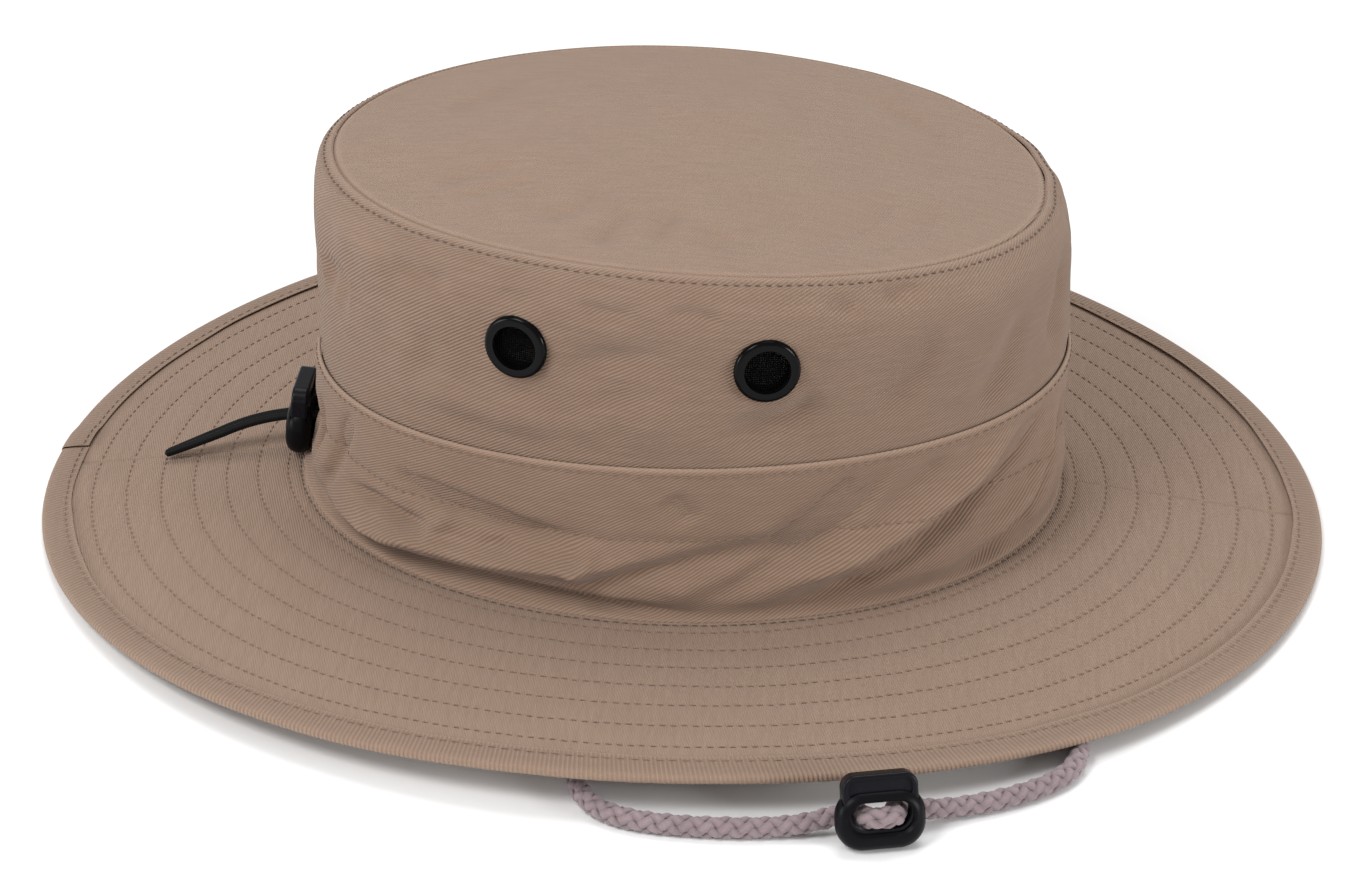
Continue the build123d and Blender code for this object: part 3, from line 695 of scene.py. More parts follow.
def thread_material(name, colour):
    material, tree, shader = new_material(name)
    place = object_place(tree)
    ply = wave_at(tree, scaled_vector(tree, place, (1000, 1000, 1000), 0.8), 0.35)
    fleck = noise_at(tree, place, 900.0)
    base = mix_colour(tree, spread(tree, fleck, 0.0, 0.8), colour, tuple(c * 0.6 for c in colour))
    finish_shader(tree, shader, {"Base Color": base, "Roughness": 0.7}, ply, 0.6, 0.05)
    return material


def hard_material(name, colour, roughness, metallic=0.0, shine=0.15):
    """Moulded plastic or coated metal: a fine grain, faint smudges, and edges rubbed a little paler."""
    material, tree, shader = new_material(name)
    place = object_place(tree)
    smudge = noise_at(tree, place, 90.0, 3.0, 0.6)
    fine = noise_at(tree, place, 1680.0, 2.0, 0.6)
    paler, palest = tuple(c * 1.5 for c in colour), tuple(c * 2.0 + 0.002 for c in colour)
    pointed = node(tree, "ShaderNodeNewGeometry").outputs["Pointiness"]
    base = mix_colour(tree, spread(tree, smudge, 0.0, 0.5), colour, paler)
    base = mix_colour(tree, spread(tree, pointed, 0.0, 0.6, 0.52, 0.62), base, palest)
    finish_shader(tree, shader, {
        "Base Color": base,
        "Roughness": spread(tree, smudge, roughness - 0.07, roughness + 0.1),
        "Metallic": metallic,
        "Specular IOR Level": shine,
    }, fine, 0.5, 0.02)
    return material


def cord_material(name, colour, dark, roughness, fibre, depth, sheen):
    """Cotton or elastic cord, with fibres that show at the surface, and painted shade where its braid's
    strands pass under each other and meet.
    """
    material, tree, shader = new_material(name)
    place = object_place(tree)
    patches = noise_at(tree, place, 160.0, 2.0)
    fibres = noise_at(tree, place, fibre, 3.0, 0.7)
    base = mix_colour(tree, spread(tree, patches, 0.0, 0.55), colour, dark)
    base = mix_colour(tree, spread(tree, fibres, -0.1, 0.55), base, dark)
    # painted shade: a darker copy of the cord's colour where the braid's strands pass under and meet
    crease_shade = math_node(tree, "MULTIPLY", attribute(tree, "crease_shade"), 0.5)
    base = mix_colour(tree, crease_shade, base, tuple(c * 0.45 for c in dark))
    finish_shader(tree, shader, {
        "Base Color": base,
        "Roughness": roughness,
        "Sheen Weight": sheen,
        "Specular IOR Level": 0.12,
    }, fibres, 0.9, depth)
    return material


TWILL_TURN = radians(62)
# painted shade: the hatband's khaki is the crown's khaki made darker, for the shade among its folds and under
# the crown
BAND_KHAKI_PAINTED_SHADE = (0.268, 0.181, 0.129)
# painted shade: the bias tape's khaki is made darker, for the shade where it turns down round the brim's edge
TAPE_KHAKI_PAINTED_SHADE = (0.275, 0.187, 0.135)
twill_crown = cloth_material("khaki twill", TWILL_TURN, 0.73, 0.74, 0.2)
twill_band = cloth_material("khaki twill, hatband", TWILL_TURN, 0.7, 0.8, 0.11, colour=BAND_KHAKI_PAINTED_SHADE)
twill_tip = cloth_material("khaki twill, tip", radians(20), 0.6, 0.22, 0.11, 0.8)
twill_brim = cloth_material("khaki twill, brim", radians(75), 0.6, 0.24, 0.12, 0.8)
tape_cloth = cloth_material("bias tape", radians(9), 1.2, 0.5, 0.28, 0.6, TAPE_KHAKI_PAINTED_SHADE)
sweat_cloth = cloth_material(
    "sweatband cotton", radians(45), 0.7, 0.3, 0.1,
    colour=(0.33, 0.24, 0.175), pale=(0.39, 0.29, 0.22), dark=(0.17, 0.11, 0.075))
stiff_cloth = cloth_material(
    "stiffener", 0.3, 1.4, 0.1, 0.1, colour=(0.6, 0.57, 0.5), pale=(0.72, 0.7, 0.64), dark=(0.42, 0.39, 0.33))
label_cloth = cloth_material(
    "white woven tape", 0.0, 0.5, 0.25, 0.08,
    colour=(0.74, 0.73, 0.69), pale=(0.84, 0.83, 0.8), dark=(0.5, 0.48, 0.43))
quilt_thread = thread_material("quilting thread", (0.245, 0.15, 0.108))
khaki_thread = thread_material("khaki thread", (0.25, 0.165, 0.115))
dark_thread = thread_material("seam thread", (0.12, 0.075, 0.055))
black_rim = hard_material("vent rim, satin black", (0.0012, 0.0012, 0.0015), 0.15, shine=0.11)
black_wire = hard_material("vent mesh", (0.001, 0.001, 0.001), 0.5, shine=0.04)
black_plastic = hard_material("cord lock, satin black", (0.0035, 0.0035, 0.0045), 0.34, shine=0.08)
button_plastic = hard_material("lock button, satin black", (0.005, 0.005, 0.007), 0.27, shine=0.13)
spring_steel = hard_material("spring steel", (0.45, 0.45, 0.44), 0.28, 1.0, shine=0.5)
braid_cotton = cord_material(
    "braided cotton", (0.345, 0.272, 0.285), (0.17, 0.122, 0.13), 0.9, 1300.0, 0.3, 0.25)
elastic = cord_material(
    "black elastic", (0.005, 0.005, 0.0055), (0.002, 0.002, 0.0025), 0.62, 1800.0, 0.06, 0.02)


# ---- lock springs ----------------------------------------------------------------------------------
def make_lock_coil(lock, body):
    """A lock's coil spring: the CAD spring's mesh in spring steel, moving with its body."""
    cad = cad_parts[f"{lock}_lock_spring"]
    coil = linked(bpy.data.objects.new(f"{lock}_lock_coil", cad.data.copy()))
    coil.data.materials.clear()
    coil.data.materials.append(spring_steel)
    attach(coil, body)
    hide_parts(f"{lock}_lock_spring")
    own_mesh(coil)


make_lock_coil("chin", "hat")
make_lock_coil("rear", "rear_lock")

# ---- camera ----------------------------------------------------------------------------------------
CAMERA_AT = (62.72, -891.12, SEAM_Z + 485.57)
CAMERA_AIM = (0.07, 0.0, SEAM_Z + 4.62)
CAMERA_ROLL = 0.544  # degrees
CAMERA_LENS = 102.70


def make_camera():
    data = bpy.data.cameras.new("camera")
    data.lens = CAMERA_LENS
    data.sensor_width = 36.0
    data.clip_start = 0.05
    camera = linked(bpy.data.objects.new("camera", data))
    at, aim = Vector(CAMERA_AT) * MM, Vector(CAMERA_AIM) * MM
    roll = Matrix.Rotation(radians(CAMERA_ROLL), 3, "Z").to_quaternion()
    camera.location = at
    camera.rotation_euler = ((aim - at).to_track_quat("-Z", "Y") @ roll).to_euler()
    bpy.context.scene.camera = camera


make_camera()


# ---- cords -----------------------------------------------------------------------------------------
def lock_place(origin, turn, lean):
    """A cord lock's origin and own axes: across, towards its button, and out of its hole."""
    turn, lean = radians(turn), radians(lean)
    across = Vector((cos(turn), sin(turn), 0))
    facing = Vector((sin(turn) * cos(lean), -cos(turn) * cos(lean), sin(lean)))
    return Vector(origin), across, facing.cross(across), facing


def in_lock(place, x, y, z):
    origin, across, upward, facing = place
    return tuple(origin + across * x + upward * y + facing * z)


CHIN_LOCK = lock_place((56.6, -156.5, 7.8), 14.0, 18.0)
REAR_LOCK = lock_place((-99.4, 0.0, SEAM_Z + LOCK_BELOW + 0.6), -90.0, 4.0)
FOLD_HALF, FOLD_TIP, FOLD_BACK = 4.0, 2.6, -6.2  # the chin cord's fold in its lock
CHIN_CORD_ROUTE = [
    (1.5, -70.9, 12.5), (4.5, -66.5, 3.4), (24.0, -57.0, CHIN_Z), (50.0, -53.0, CHIN_Z),
    (75.0, -66.0, CHIN_Z), (93.0, -86.0, CHIN_Z), (103.0, -110.5, CHIN_Z), (101.5, -126.5, CHIN_Z),
    (89.5, -137.5, CHIN_Z), (71.0, -146.0, CHIN_Z + 0.2),
    in_lock(CHIN_LOCK, FOLD_HALF, 0, FOLD_BACK), in_lock(CHIN_LOCK, FOLD_HALF, 0, FOLD_TIP),
    in_lock(CHIN_LOCK, -FOLD_HALF, 0, FOLD_TIP), in_lock(CHIN_LOCK, -FOLD_HALF, 0, FOLD_BACK),
    (38.0, -155.6, CHIN_Z + 0.2), (18.0, -157.6, CHIN_Z), (-3.0, -155.8, CHIN_Z),
    (-13.2, -146.5, CHIN_Z), (-16.0, -127.0, CHIN_Z), (-11.0, -100.0, CHIN_Z),
    (-17.0, -72.0, CHIN_Z), (-4.0, -46.0, CHIN_Z), (17.0, -27.0, CHIN_Z), (16.0, 0.0, CHIN_Z),
    (-6.0, 16.0, CHIN_Z), (-24.0, 34.0, CHIN_Z), (-17.0, 56.0, CHIN_Z), (-5.0, 67.0, 3.6),
    (-1.0, 71.0, 12.5),
]


def spline_line(route, step):
    """The line of a NURBS curve with the route's points as its control points, in equal steps, and the
    length up to each of its points."""
    data = bpy.data.curves.new("guide", "CURVE")
    data.dimensions = "3D"
    spline = data.splines.new("NURBS")
    spline.points.add(len(route) - 1)
    for point, place in zip(spline.points, route):
        point.co = (*(c * MM for c in place), 1.0)
    spline.order_u = 3
    spline.use_endpoint_u = True
    spline.resolution_u = 16
    guide = linked(bpy.data.objects.new("guide", data))
    bpy.context.view_layer.update()
    made = bpy.data.meshes.new_from_object(guide)
    line = np.array([v.co for v in made.vertices], float) / MM
    bpy.data.meshes.remove(made)
    bpy.data.objects.remove(guide)
    return evenly(line, step)


BRAID_STRANDS = 4  # each way round
BRAID_PITCH = 18.0  # for a strand's whole turn
BRAID_CORE = 1.42  # from the cord's line to a strand's middle
BRAID_WEAVE = 0.38  # how far a strand rises over another and dips under
STRAND_WIDE, STRAND_THICK = 1.16, 0.8
STRAND_SIDES = 8


def braid(name, line, where, material):
    """Strands plaited round a line, each over one and under the next."""
    _, side, other = carried_axes(line, (0.2, 0.1, 0.97))
    bundle = Bundle()
    creases = []
    turn = whole_turn(STRAND_SIDES)
    faces = tube_faces(len(line), STRAND_SIDES)
    angle = 2 * pi * where / BRAID_PITCH
    crossing = np.cos(BRAID_STRANDS * angle)
    uneven = 1 + 0.05 * value_noise(9, where / 7.0)
    for way in (1, -1):
        for strand in range(BRAID_STRANDS):
            wobble = 0.05 * value_noise(11 + strand, where / 5.0)
            round_by = way * angle + 2 * pi * strand / BRAID_STRANDS + wobble
            out = side * np.cos(round_by)[:, None] + other * np.sin(round_by)[:, None]
            reach = BRAID_CORE * uneven + way * BRAID_WEAVE * crossing
            middle = line + out * reach[:, None]
            heading = unit(np.gradient(middle, axis=0))
            wide = unit(np.cross(out, heading))
            thick = np.cross(heading, wide)
            width = STRAND_WIDE * (1 + 0.05 * value_noise(31 + strand, where / 2.0))
            rings = middle[:, None] + circle_across(wide * width[:, None], thick * STRAND_THICK, turn)
            bundle.add(rings.reshape(-1, 3), faces)
            # painted shade: each strand is darker where it passes under the other way's strands and along its
            # edges beside its neighbours
            under = (1 - way * crossing) / 2
            edge = np.abs(np.cos(turn))[None] ** 3
            creases.append(np.maximum(0.9 * under[:, None] ** 2, edge).ravel())
    return bundle.build(name, material, {"crease_shade": np.concatenate(creases)})


def make_chin_cord():
    line, where = spline_line(CHIN_CORD_ROUTE, 0.55)
    cord = braid("chin_cord_braid", line, where, braid_cotton)
    belongs(cord, "beige_cotton", "chin_cord")


make_chin_cord()

STRAND_OUT = 1.2  # from the hat's middle plane to each tail
CHANNEL_END_DEG = 4.6
CORNER_CUT = 0.2
REST_X = -136.0  # where the tails' ends lie on the brim
REST_LIFT = {"right": 1.15, "left": 0.2}  # and how far over it


def make_drawcord_tail(side, seed):
    """One end of the elastic drawcord: out of its channel, through the rear lock and down onto the brim."""
    sign = -1 if side == "right" else 1
    leaves = np.array(radians(180 - sign * CHANNEL_END_DEG))
    start = level_points(leaves, {"cord": CORD_INSET - CORNER_CUT}, ["cord"])[0]
    hole = in_lock(REAR_LOCK, 0, 1.1, 0)
    brim_z = SEAM_Z - (abs(REST_X) - BASE_A) * tan(radians(DROOP_MEAN + DROOP_SADDLE))
    route = [
        (float(start[0]), float(start[1]), DRAWCORD_Z),
        (float(start[0]) - 0.4, sign * STRAND_OUT, DRAWCORD_Z),
        (hole[0] - 4.2, sign * STRAND_OUT, hole[2] - 0.3),
        (-114.2, sign * STRAND_OUT - 0.3, DRAWCORD_Z - 3.6),
        (-124.5, sign * STRAND_OUT - 1.0, DRAWCORD_Z - 8.5),
        (REST_X, sign * STRAND_OUT - 2.0, brim_z + DRAWCORD_D / 2 + REST_LIFT[side]),
    ]
    line, where = spline_line(route, 0.4)
    from_end = np.clip(where[-1] - where, 0, 1)
    radius = DRAWCORD_D / 2 * np.sqrt(np.clip(1 - (1 - from_end) ** 2, 0.02, 1))
    radius = radius * (1 + 0.015 * value_noise(seed, where / 1.3))
    points, faces = swept_tube(line, radius, 14)
    tail = mesh_object(f"drawcord_tail_{side}_elastic", points, faces, elastic)
    belongs(tail, "black_elastic", f"drawcord_tail_{side}")


make_drawcord_tail("right", 3)
make_drawcord_tail("left", 4)

# ---- brim ------------------------------------------------------------------------------------------
BRIM_LAYERS = [
    # piece, CAD node, slot, depth under the top face, thickness, material, faces up, end slits (degrees)
    ("brim_top_cloth", "brim_upper", "khaki_twill", 0.0, CLOTH, twill_brim, True, 0.012),
    ("brim_stiffener", "brim_interlining", "stiffener", CLOTH + PLY_GAP, INTERLINING, stiff_cloth, True, 0.4),
    ("brim_under_cloth", "brim_lower", "khaki_twill", CLOTH + INTERLINING + 2 * PLY_GAP, CLOTH, twill_brim,
     False, 0.012),
]
BRIM_INNER = -(SWEAT_INSET - 0.3)
BRIM_OUTER = BRIM_WIDTH - BINDING_CLOTH - 0.3
BRIM_COLUMNS, BRIM_CELL = 420, 0.55


def quilting(along):
    """The small groove that each row of stitches pulls into the brim."""
    total = -0.3 * bump_shape(along - BASE_STITCHES, 0.45)
    for row in QUILT_ROWS:
        total = total - QUILT_DEEP * bump_shape(along - row, 0.8)
    return total


def brim_ply(name, side, top, thick, material, face_up, slit):
    """One half ring of brim cloth, as a closed sheet. The stiffener isn't drawn in by the stitches."""
    start, end = SIDES[side]
    phi = np.radians(np.linspace(start + slit, end - slit, BRIM_COLUMNS))
    along = np.linspace(BRIM_INNER, BRIM_OUTER, int((BRIM_OUTER - BRIM_INNER) / BRIM_CELL))
    grid_phi, grid_along = np.meshgrid(phi, along)
    dent = 0.0
    if material is twill_brim:
        from_seams = [(grid_phi - radians(seam)) * 110 for seam in (start, end)]
        dent = quilting(grid_along) - 0.25 * sum(bump_shape(away, 1.0) for away in from_seams)
    grid = brim_point(grid_phi, grid_along, -top + dent if face_up else -top - thick - dent)
    middle = radians((start + end) / 2)
    x, y = grid[..., 0], grid[..., 1]
    weave = on_cloth(x * cos(middle) + y * sin(middle), -x * sin(middle) + y * cos(middle))
    wear = 0.25 * bump_shape(grid_along - BRIM_OUTER, 8.0)
    return cloth_slab(name, grid, thick, weave, wear, material, flip=face_up)


def make_brim():
    for side in SIDES:
        for name, cad, slot, top, thick, material, face_up, slit in BRIM_LAYERS:
            piece = brim_ply(f"{name}_{side}", side, top, thick, material, face_up, slit)
            belongs(piece, slot, f"{cad}_{side}")


def make_quilting():
    for side, (start, end) in SIDES.items():
        phi = np.radians(np.linspace(start + 0.3, end - 0.3, 500))
        rows = []
        for number, row in enumerate(QUILT_ROWS):
            along = np.full_like(phi, row)
            up = brim_up(phi, along)
            top, under = brim_point(phi, along, -QUILT_DEEP), brim_point(phi, along, QUILT_DEEP - BRIM_PLIES)
            rows += [(top, up, 10 + number), (under, -up, 50 + number)]
        sew(f"brim_quilting_{side}", quilt_thread, "quilting", rows)


make_brim()
make_quilting()


# ---- bias tape -------------------------------------------------------------------------------------
TAPE_COLUMNS = 1300
LAP_LIFT = 0.62  # how far the tape's end stands over its start
WEAVE_SCALE = 1.78  # the brim's edge is so much longer than the crown's oval


def tape_outline(lift, nose, bulge):
    """The tape's outer face, from its inner edge on top, round the nose, to its inner edge underneath.
    Each row has its place along the brim, its lift, and how much it takes of the edge's lifting and of
    its wander."""
    reach = BINDING_REACH + 0.4
    shares = np.linspace(0, 1, 12)
    over, under = [], []
    for share in shares:
        along = BRIM_WIDTH - reach + share * (reach - bulge)
        loose, wander = (1 - share) ** 3, (1 - share) ** 2
        over.append((along, lift + 0.12 * sin(share * pi), loose, wander))
        under.append((along, nose - bulge - 0.08 * sin(share * pi), -0.5 * loose, wander))
    turns = np.linspace(0, pi, 13)[1:-1]
    edge = [(BRIM_WIDTH - bulge + bulge * sin(t), nose + bulge * cos(t), 0.0, 0.0) for t in turns]
    return over + edge + under[::-1]


def make_binding():
    """Bias tape folded over the brim's edge. Its inner edge wanders and lifts, and its end laps its start."""
    over, nose = PLY_GAP + BINDING_CLOTH, -BRIM_PLIES / 2
    outline = tape_outline(over, nose, BRIM_PLIES / 2 + over)
    phi = np.radians(np.linspace(TAPE_MEETS + 0.03, TAPE_MEETS + 360 - 0.03, TAPE_COLUMNS))
    lap = LAP_LIFT * (1 - ease_between(TAPE_MEETS + 360 - np.degrees(phi), 2.4, 5.0))
    lifted = (0.22 + 0.2 * noise_round(21, phi, 4) + 0.3 * ease_between(np.sin(phi), 0.0, 0.8)
              + 0.25 * ease_between(np.cos(phi), 0.2, 0.9))
    wander = 0.35 * noise_round(22, phi, 9)
    rows = []
    for along, lift, loose, wandering in outline:
        raised = lap * (1 if lift > nose else -0.35)
        rows.append(brim_point(phi, along + wander * wandering, lift + loose * lifted + raised))
    grid = np.array(rows)
    run = run_along(np.array(outline)[:, :2])
    weave = on_cloth(*np.broadcast_arrays(around_length(phi) * WEAVE_SCALE, run[:, None]))
    wear = 0.5 * bump_shape(run - run[len(run) // 2], 2.5) + 0.9 * bump_shape(run, 0.5)
    tape = cloth_slab(
        "brim_bias_tape", grid, BINDING_CLOTH * 0.85, weave, wear[:, None], tape_cloth, flip=True)
    belongs(tape, "khaki_tape", "brim_binding")
    along = np.full_like(phi, BRIM_WIDTH - BINDING_REACH + 1.3)
    up = brim_up(phi, along)
    sew("bias_tape_stitching", khaki_thread, "tape", [
        (brim_point(phi, along, over + 0.17 + lap), up, 71),
        (brim_point(phi, along, -BRIM_PLIES - over - 0.05), -up, 72),
    ])


make_binding()

# ---- crown -----------------------------------------------------------------------------------------
VENT_CENTRES = [(-33.9, 69.8), (25.3, 68.0)]  # ahead of the hat's middle, and over the crown seam
WALL_LEAN = 0.03
VENT_PROUD = 0.5
VENT_BARREL_R = 6.3
CROWN_STEPS, CROWN_COLUMNS = 150, 560


def vent_places(side):
    """Each vent's centre on the wall and its outward direction."""
    a, b, middle = LEVELS["middle"][:3]
    sign = -1 if side == "right" else 1
    places = []
    for x, height in VENT_CENTRES:
        share = (x - middle) / a
        y = sign * b * sqrt(1 - share * share)
        normal = Vector(((x - middle) / a ** 2, y / b ** 2, WALL_LEAN / b)).normalized()
        places.append((Vector((x, y, SEAM_Z + height)) + normal * VENT_PROUD, normal))
    return places


ALL_VENTS = [place for side in SIDES for place in vent_places(side)]


def crown_offset(phi, grid):
    """How far the crown's cloth stands out from its smooth shape: dents, soft waves and vent puckers."""
    height = grid[..., 2] - SEAM_Z
    total = CROWN_FOLD_SCALE * folds_round(phi, height, CROWN_FOLDS)
    total = total + 0.9 * noise_round(41, phi, 3.4, height / 24.0)
    total = total + 0.5 * noise_round(42, phi, 3.4 * 2.3, height / 11.0)
    total = total * ease_between(height, 40.0, 48.0) * (1 - ease_between(height, 81.0, 86.5))
    for centre, _ in ALL_VENTS:
        away = np.linalg.norm(grid - np.array(centre), axis=-1)
        around = np.arctan2(grid[..., 2] - centre.z, grid[..., 0] - centre.x)
        total = total * ease_between(away, 8.0, 15.0)
        pucker = 0.16 * (1 + np.cos(around * 7 + centre.x))
        total = total + bump_shape(away - VENT_R - 1.0, 2.2) * pucker
    return total


def crown_grid(side):
    """The crown wall's outer face, its weave coordinates, its wear, and the length up it to each row."""
    start, end = SIDES[side]
    phi = np.radians(np.linspace(start, end, CROWN_COLUMNS))
    inset = {name: CHANNEL_INSET for name in ("seam", "low", "cord", "high")}
    inset.update({"stitch": 2.3, "swell": 1.2, "band_top": BAND_CLOTH + 0.2, "tip": -0.1})
    grid, run = curve_through(level_points(phi, inset, list(LEVELS)), CROWN_STEPS)
    grid_phi = np.broadcast_to(phi, grid.shape[:2])
    from_start, from_end = np.degrees(grid_phi) - start, end - np.degrees(grid_phi)
    offset = crown_offset(grid_phi, grid)
    for from_seam in (from_start, from_end):
        offset = offset * ease_between(from_seam, 0.0, 3.0)
    offset = offset - 0.5 * (bump_shape(from_start * 1.6, 0.8) + bump_shape(from_end * 1.6, 0.8))
    from_tip = (run[-1] - run)[:, None]
    ridge = 0.28 * bump_shape(from_tip - 0.9, 0.7) - 0.25 * bump_shape(from_tip - 2.4, 0.6)
    grid = pushed_out(grid, grid_phi, offset)
    grid = grid + grid_normals(grid) * ridge[..., None]
    weave = on_cloth(*np.broadcast_arrays(around_length(grid_phi), run[:, None]))
    wear = 0.8 * bump_shape(from_tip - 0.7, 0.7) + 0.15 * bump_shape(from_tip - 8, 5.0)
    return grid, weave, wear, run


def vent_holes(obj):
    """Deletes the cloth inside each vent's barrel, on both faces, and joins the two faces round the hole."""
    mesh = obj.data
    centres = [(np.array(c) * MM, np.array(n)) for c, n in ALL_VENTS]
    points = np.array([v.co for v in mesh.vertices])
    inside = np.zeros(len(points), bool)
    for centre, normal in centres:
        offset = points - centre
        depth = offset @ normal
        away = np.linalg.norm(offset - depth[:, None] * normal, axis=1)
        inside |= (away < (VENT_BARREL_R - 0.2) * MM) & (np.abs(depth) < 8 * MM)
    work = bmesh.new()
    work.from_mesh(mesh)
    work.verts.ensure_lookup_table()
    gone = [work.verts[i] for i in np.nonzero(inside)[0]]
    bmesh.ops.delete(work, geom=gone, context="VERTS")
    for centre, _ in centres:
        rim = [e for e in work.edges if e.is_boundary and (e.verts[0].co - Vector(centre)).length < 12 * MM]
        if rim:
            bmesh.ops.bridge_loops(work, edges=rim)
    work.to_mesh(mesh)
    work.free()


def make_crown_sides():
    for side in SIDES:
        grid, weave, wear, run = crown_grid(side)
        wall = cloth_slab(f"crown_wall_cloth_{side}", grid, WALL * 0.75, weave, wear, twill_crown)
        vent_holes(wall)
        belongs(wall, "khaki_twill", f"crown_side_{side}")
        row = CROWN_STEPS - round(2.3 / (run[1] - run[0]))
        normals = grid_normals(grid)[row]
        sew(f"tip_topstitch_{side}", dark_thread, "topstitch", [(grid[row] + normals * 0.03, normals, 81)])


TIP_RINGS, TIP_EDGE_RINGS, TIP_COLUMNS = 112, 18, 540


def make_tip():
    """The oval top of the crown: a shallow dome, dipping into its seam, with a few soft creases."""
    a, b, middle, mean, slope, saddle, _ = LEVELS["tip"]
    share = np.concatenate([np.linspace(0.002, 0.96, TIP_RINGS), np.linspace(0.962, 1.0, TIP_EDGE_RINGS)])
    grid_phi, grid_share = np.meshgrid(np.linspace(0, 2 * pi, TIP_COLUMNS), share)
    x = grid_share * (a - 0.05) * np.cos(grid_phi)
    y = grid_share * (b - 0.05) * np.sin(grid_phi)
    u, v = x / a, y / b
    height = mean + slope * u + saddle * (u * u - v * v)
    z = SEAM_Z + height + TIP_DOME * (1 - u * u - v * v) - side_sag(u, v, mean)
    waves = 0.55 * value_noise(51, x / 30.0, y / 30.0)
    waves = waves + 0.16 * value_noise(52, (x + y) / 15.0, (x - y) / 34.0)
    calm = 1 - ease_between(grid_share, 0.9, 0.985)
    z = z + calm * (TIP_FOLD_SCALE * fold_height(x, y, TIP_FOLDS) + waves)
    from_edge = (1 - grid_share) * (a + b) / 2
    z = z + 0.22 * bump_shape(from_edge - 1.2, 0.9) - 0.6 * bump_shape(from_edge, 0.7)
    grid = np.stack([x + middle, y, z], -1)
    wear = 0.35 * bump_shape(from_edge - 1.2, 0.8)
    tip = cloth_slab("crown_tip_cloth", grid, WALL * 0.75, on_cloth(x, y), wear, twill_tip, flip=True)
    belongs(tip, "khaki_twill", "crown_tip")


make_crown_sides()
make_tip()

# ---- hatband ---------------------------------------------------------------------------------------
BAND_LEVELS = ["seam", "low", "cord", "high", "stitch", "swell", "band_top"]
BAND_STITCH_LEVEL = 21.0  # height of the channel's stitches over the seam
BAND_ROUND = 557.0  # the band's length round the crown
BAND_HALF_GAP = degrees(BAND_OPENING / 2 / (BASE_B ** 2 / BASE_A)) + 0.05
BAND_STEPS, BAND_COLUMNS = 96, 1100


def band_offset(phi, height):
    """Gathers of the hatband, outwards."""
    total = BAND_FOLD_SCALE * folds_round(phi, height, BAND_FOLDS)
    low = 1 - ease_between(height, 22.0, 36.0)
    total = total + 0.6 * noise_round(61, phi, 5.5, height / 14.0) * (0.35 + 0.65 * low)
    total = total + 0.35 * noise_round(62, phi, 5.5 * 3.0, height / 7.0) * low
    total = total - 0.35 * bump_shape(height - BAND_STITCH_LEVEL, 1.3)
    calm = ease_between(height, 0.3, 3.0) * (1 - ease_between(height, 33.0, 38.5))
    total = total * calm + 1.4 * ease_between(height, 2.0, 6.5) * (1 - ease_between(height, 11.0, 21.0))
    beside_cord = bump_shape(height - 10.0, 5.0)  # the drawcord keeps the deepest gathers out
    deepest = -0.95 * beside_cord - 6.0 * (1 - beside_cord)
    return np.where(total < deepest + 0.4, deepest + 0.4 * np.exp((total - deepest - 0.4) / 0.4), total)


def cloth_in_folds(shift, spacing, axis, window):
    """How much further along the cloth each point of a folded grid lies, less the slow drift of window
    points. Without it the twill would look stretched on the folds' slopes."""
    slope = np.gradient(shift, spacing, axis=axis)
    extra = np.cumsum(np.hypot(1.0, slope) - 1.0, axis=axis) * spacing
    kernel = np.hanning(window) / np.hanning(window).sum()

    def drift(line):
        return np.convolve(np.pad(line, window // 2, mode="edge"), kernel, "valid")[:len(line)]

    return extra - np.apply_along_axis(drift, axis, extra)


def make_hatband():
    """A strip round the foot of the crown, gathered by the drawcord inside it."""
    phi = np.radians(np.linspace(180 + BAND_HALF_GAP, 540 - BAND_HALF_GAP, BAND_COLUMNS))
    grid, run = curve_through(level_points(phi, {}, BAND_LEVELS), BAND_STEPS)
    grid_phi = np.broadcast_to(phi, grid.shape[:2])
    top, slope, saddle = LEVELS["band_top"][3:6]
    rise = slope * np.cos(grid_phi) + saddle * np.cos(2 * grid_phi)
    height = grid[..., 2] - SEAM_Z - rise * run[:, None] / run[-1]
    flare, roll = 1.1 * bump_shape(height, 1.2), -0.3 * bump_shape(height - top, 0.5)
    shift = band_offset(np.mod(grid_phi, 2 * pi), height) + flare + roll + 0.12
    grid = pushed_out(grid, grid_phi, shift)
    step = run[1] - run[0]
    u = around_length(grid_phi) + cloth_in_folds(shift, BAND_ROUND / BAND_COLUMNS, 1, 120)
    v = run[:, None] + cloth_in_folds(shift, step, 0, 60)
    wear = bump_shape(run[-1] - run, 0.7) + 0.5 * bump_shape(run, 0.8)
    band = cloth_slab("hatband_cloth", grid, BAND_CLOTH * 0.8, on_cloth(u, v), wear[:, None], twill_band)
    belongs(band, "khaki_twill", "hatband")
    normals = grid_normals(grid)
    rows = []
    for level, seed, sink in ((run[-1] - 1.7, 91, 0.02), (BAND_STITCH_LEVEL, 92, -0.05)):
        row = round(level / step)
        rows.append((grid[row] + normals[row] * sink, normals[row], seed))
    sew("hatband_stitching", khaki_thread, "hatband", rows)


def make_base_seam():
    """The row of stitches in the corner where the crown meets the brim."""
    phi = np.radians(np.linspace(180.5, 539.5, 1100))
    along = np.full_like(phi, BASE_STITCHES)
    row = (brim_point(phi, along, -0.24), brim_up(phi, along), 95)
    sew("base_seam_stitching", dark_thread, "base", [row])


make_hatband()
make_base_seam()


# ---- inside ----------------------------------------------------------------------------------------
SWEAT_ROWS, SWEAT_COLUMNS = 44, 720


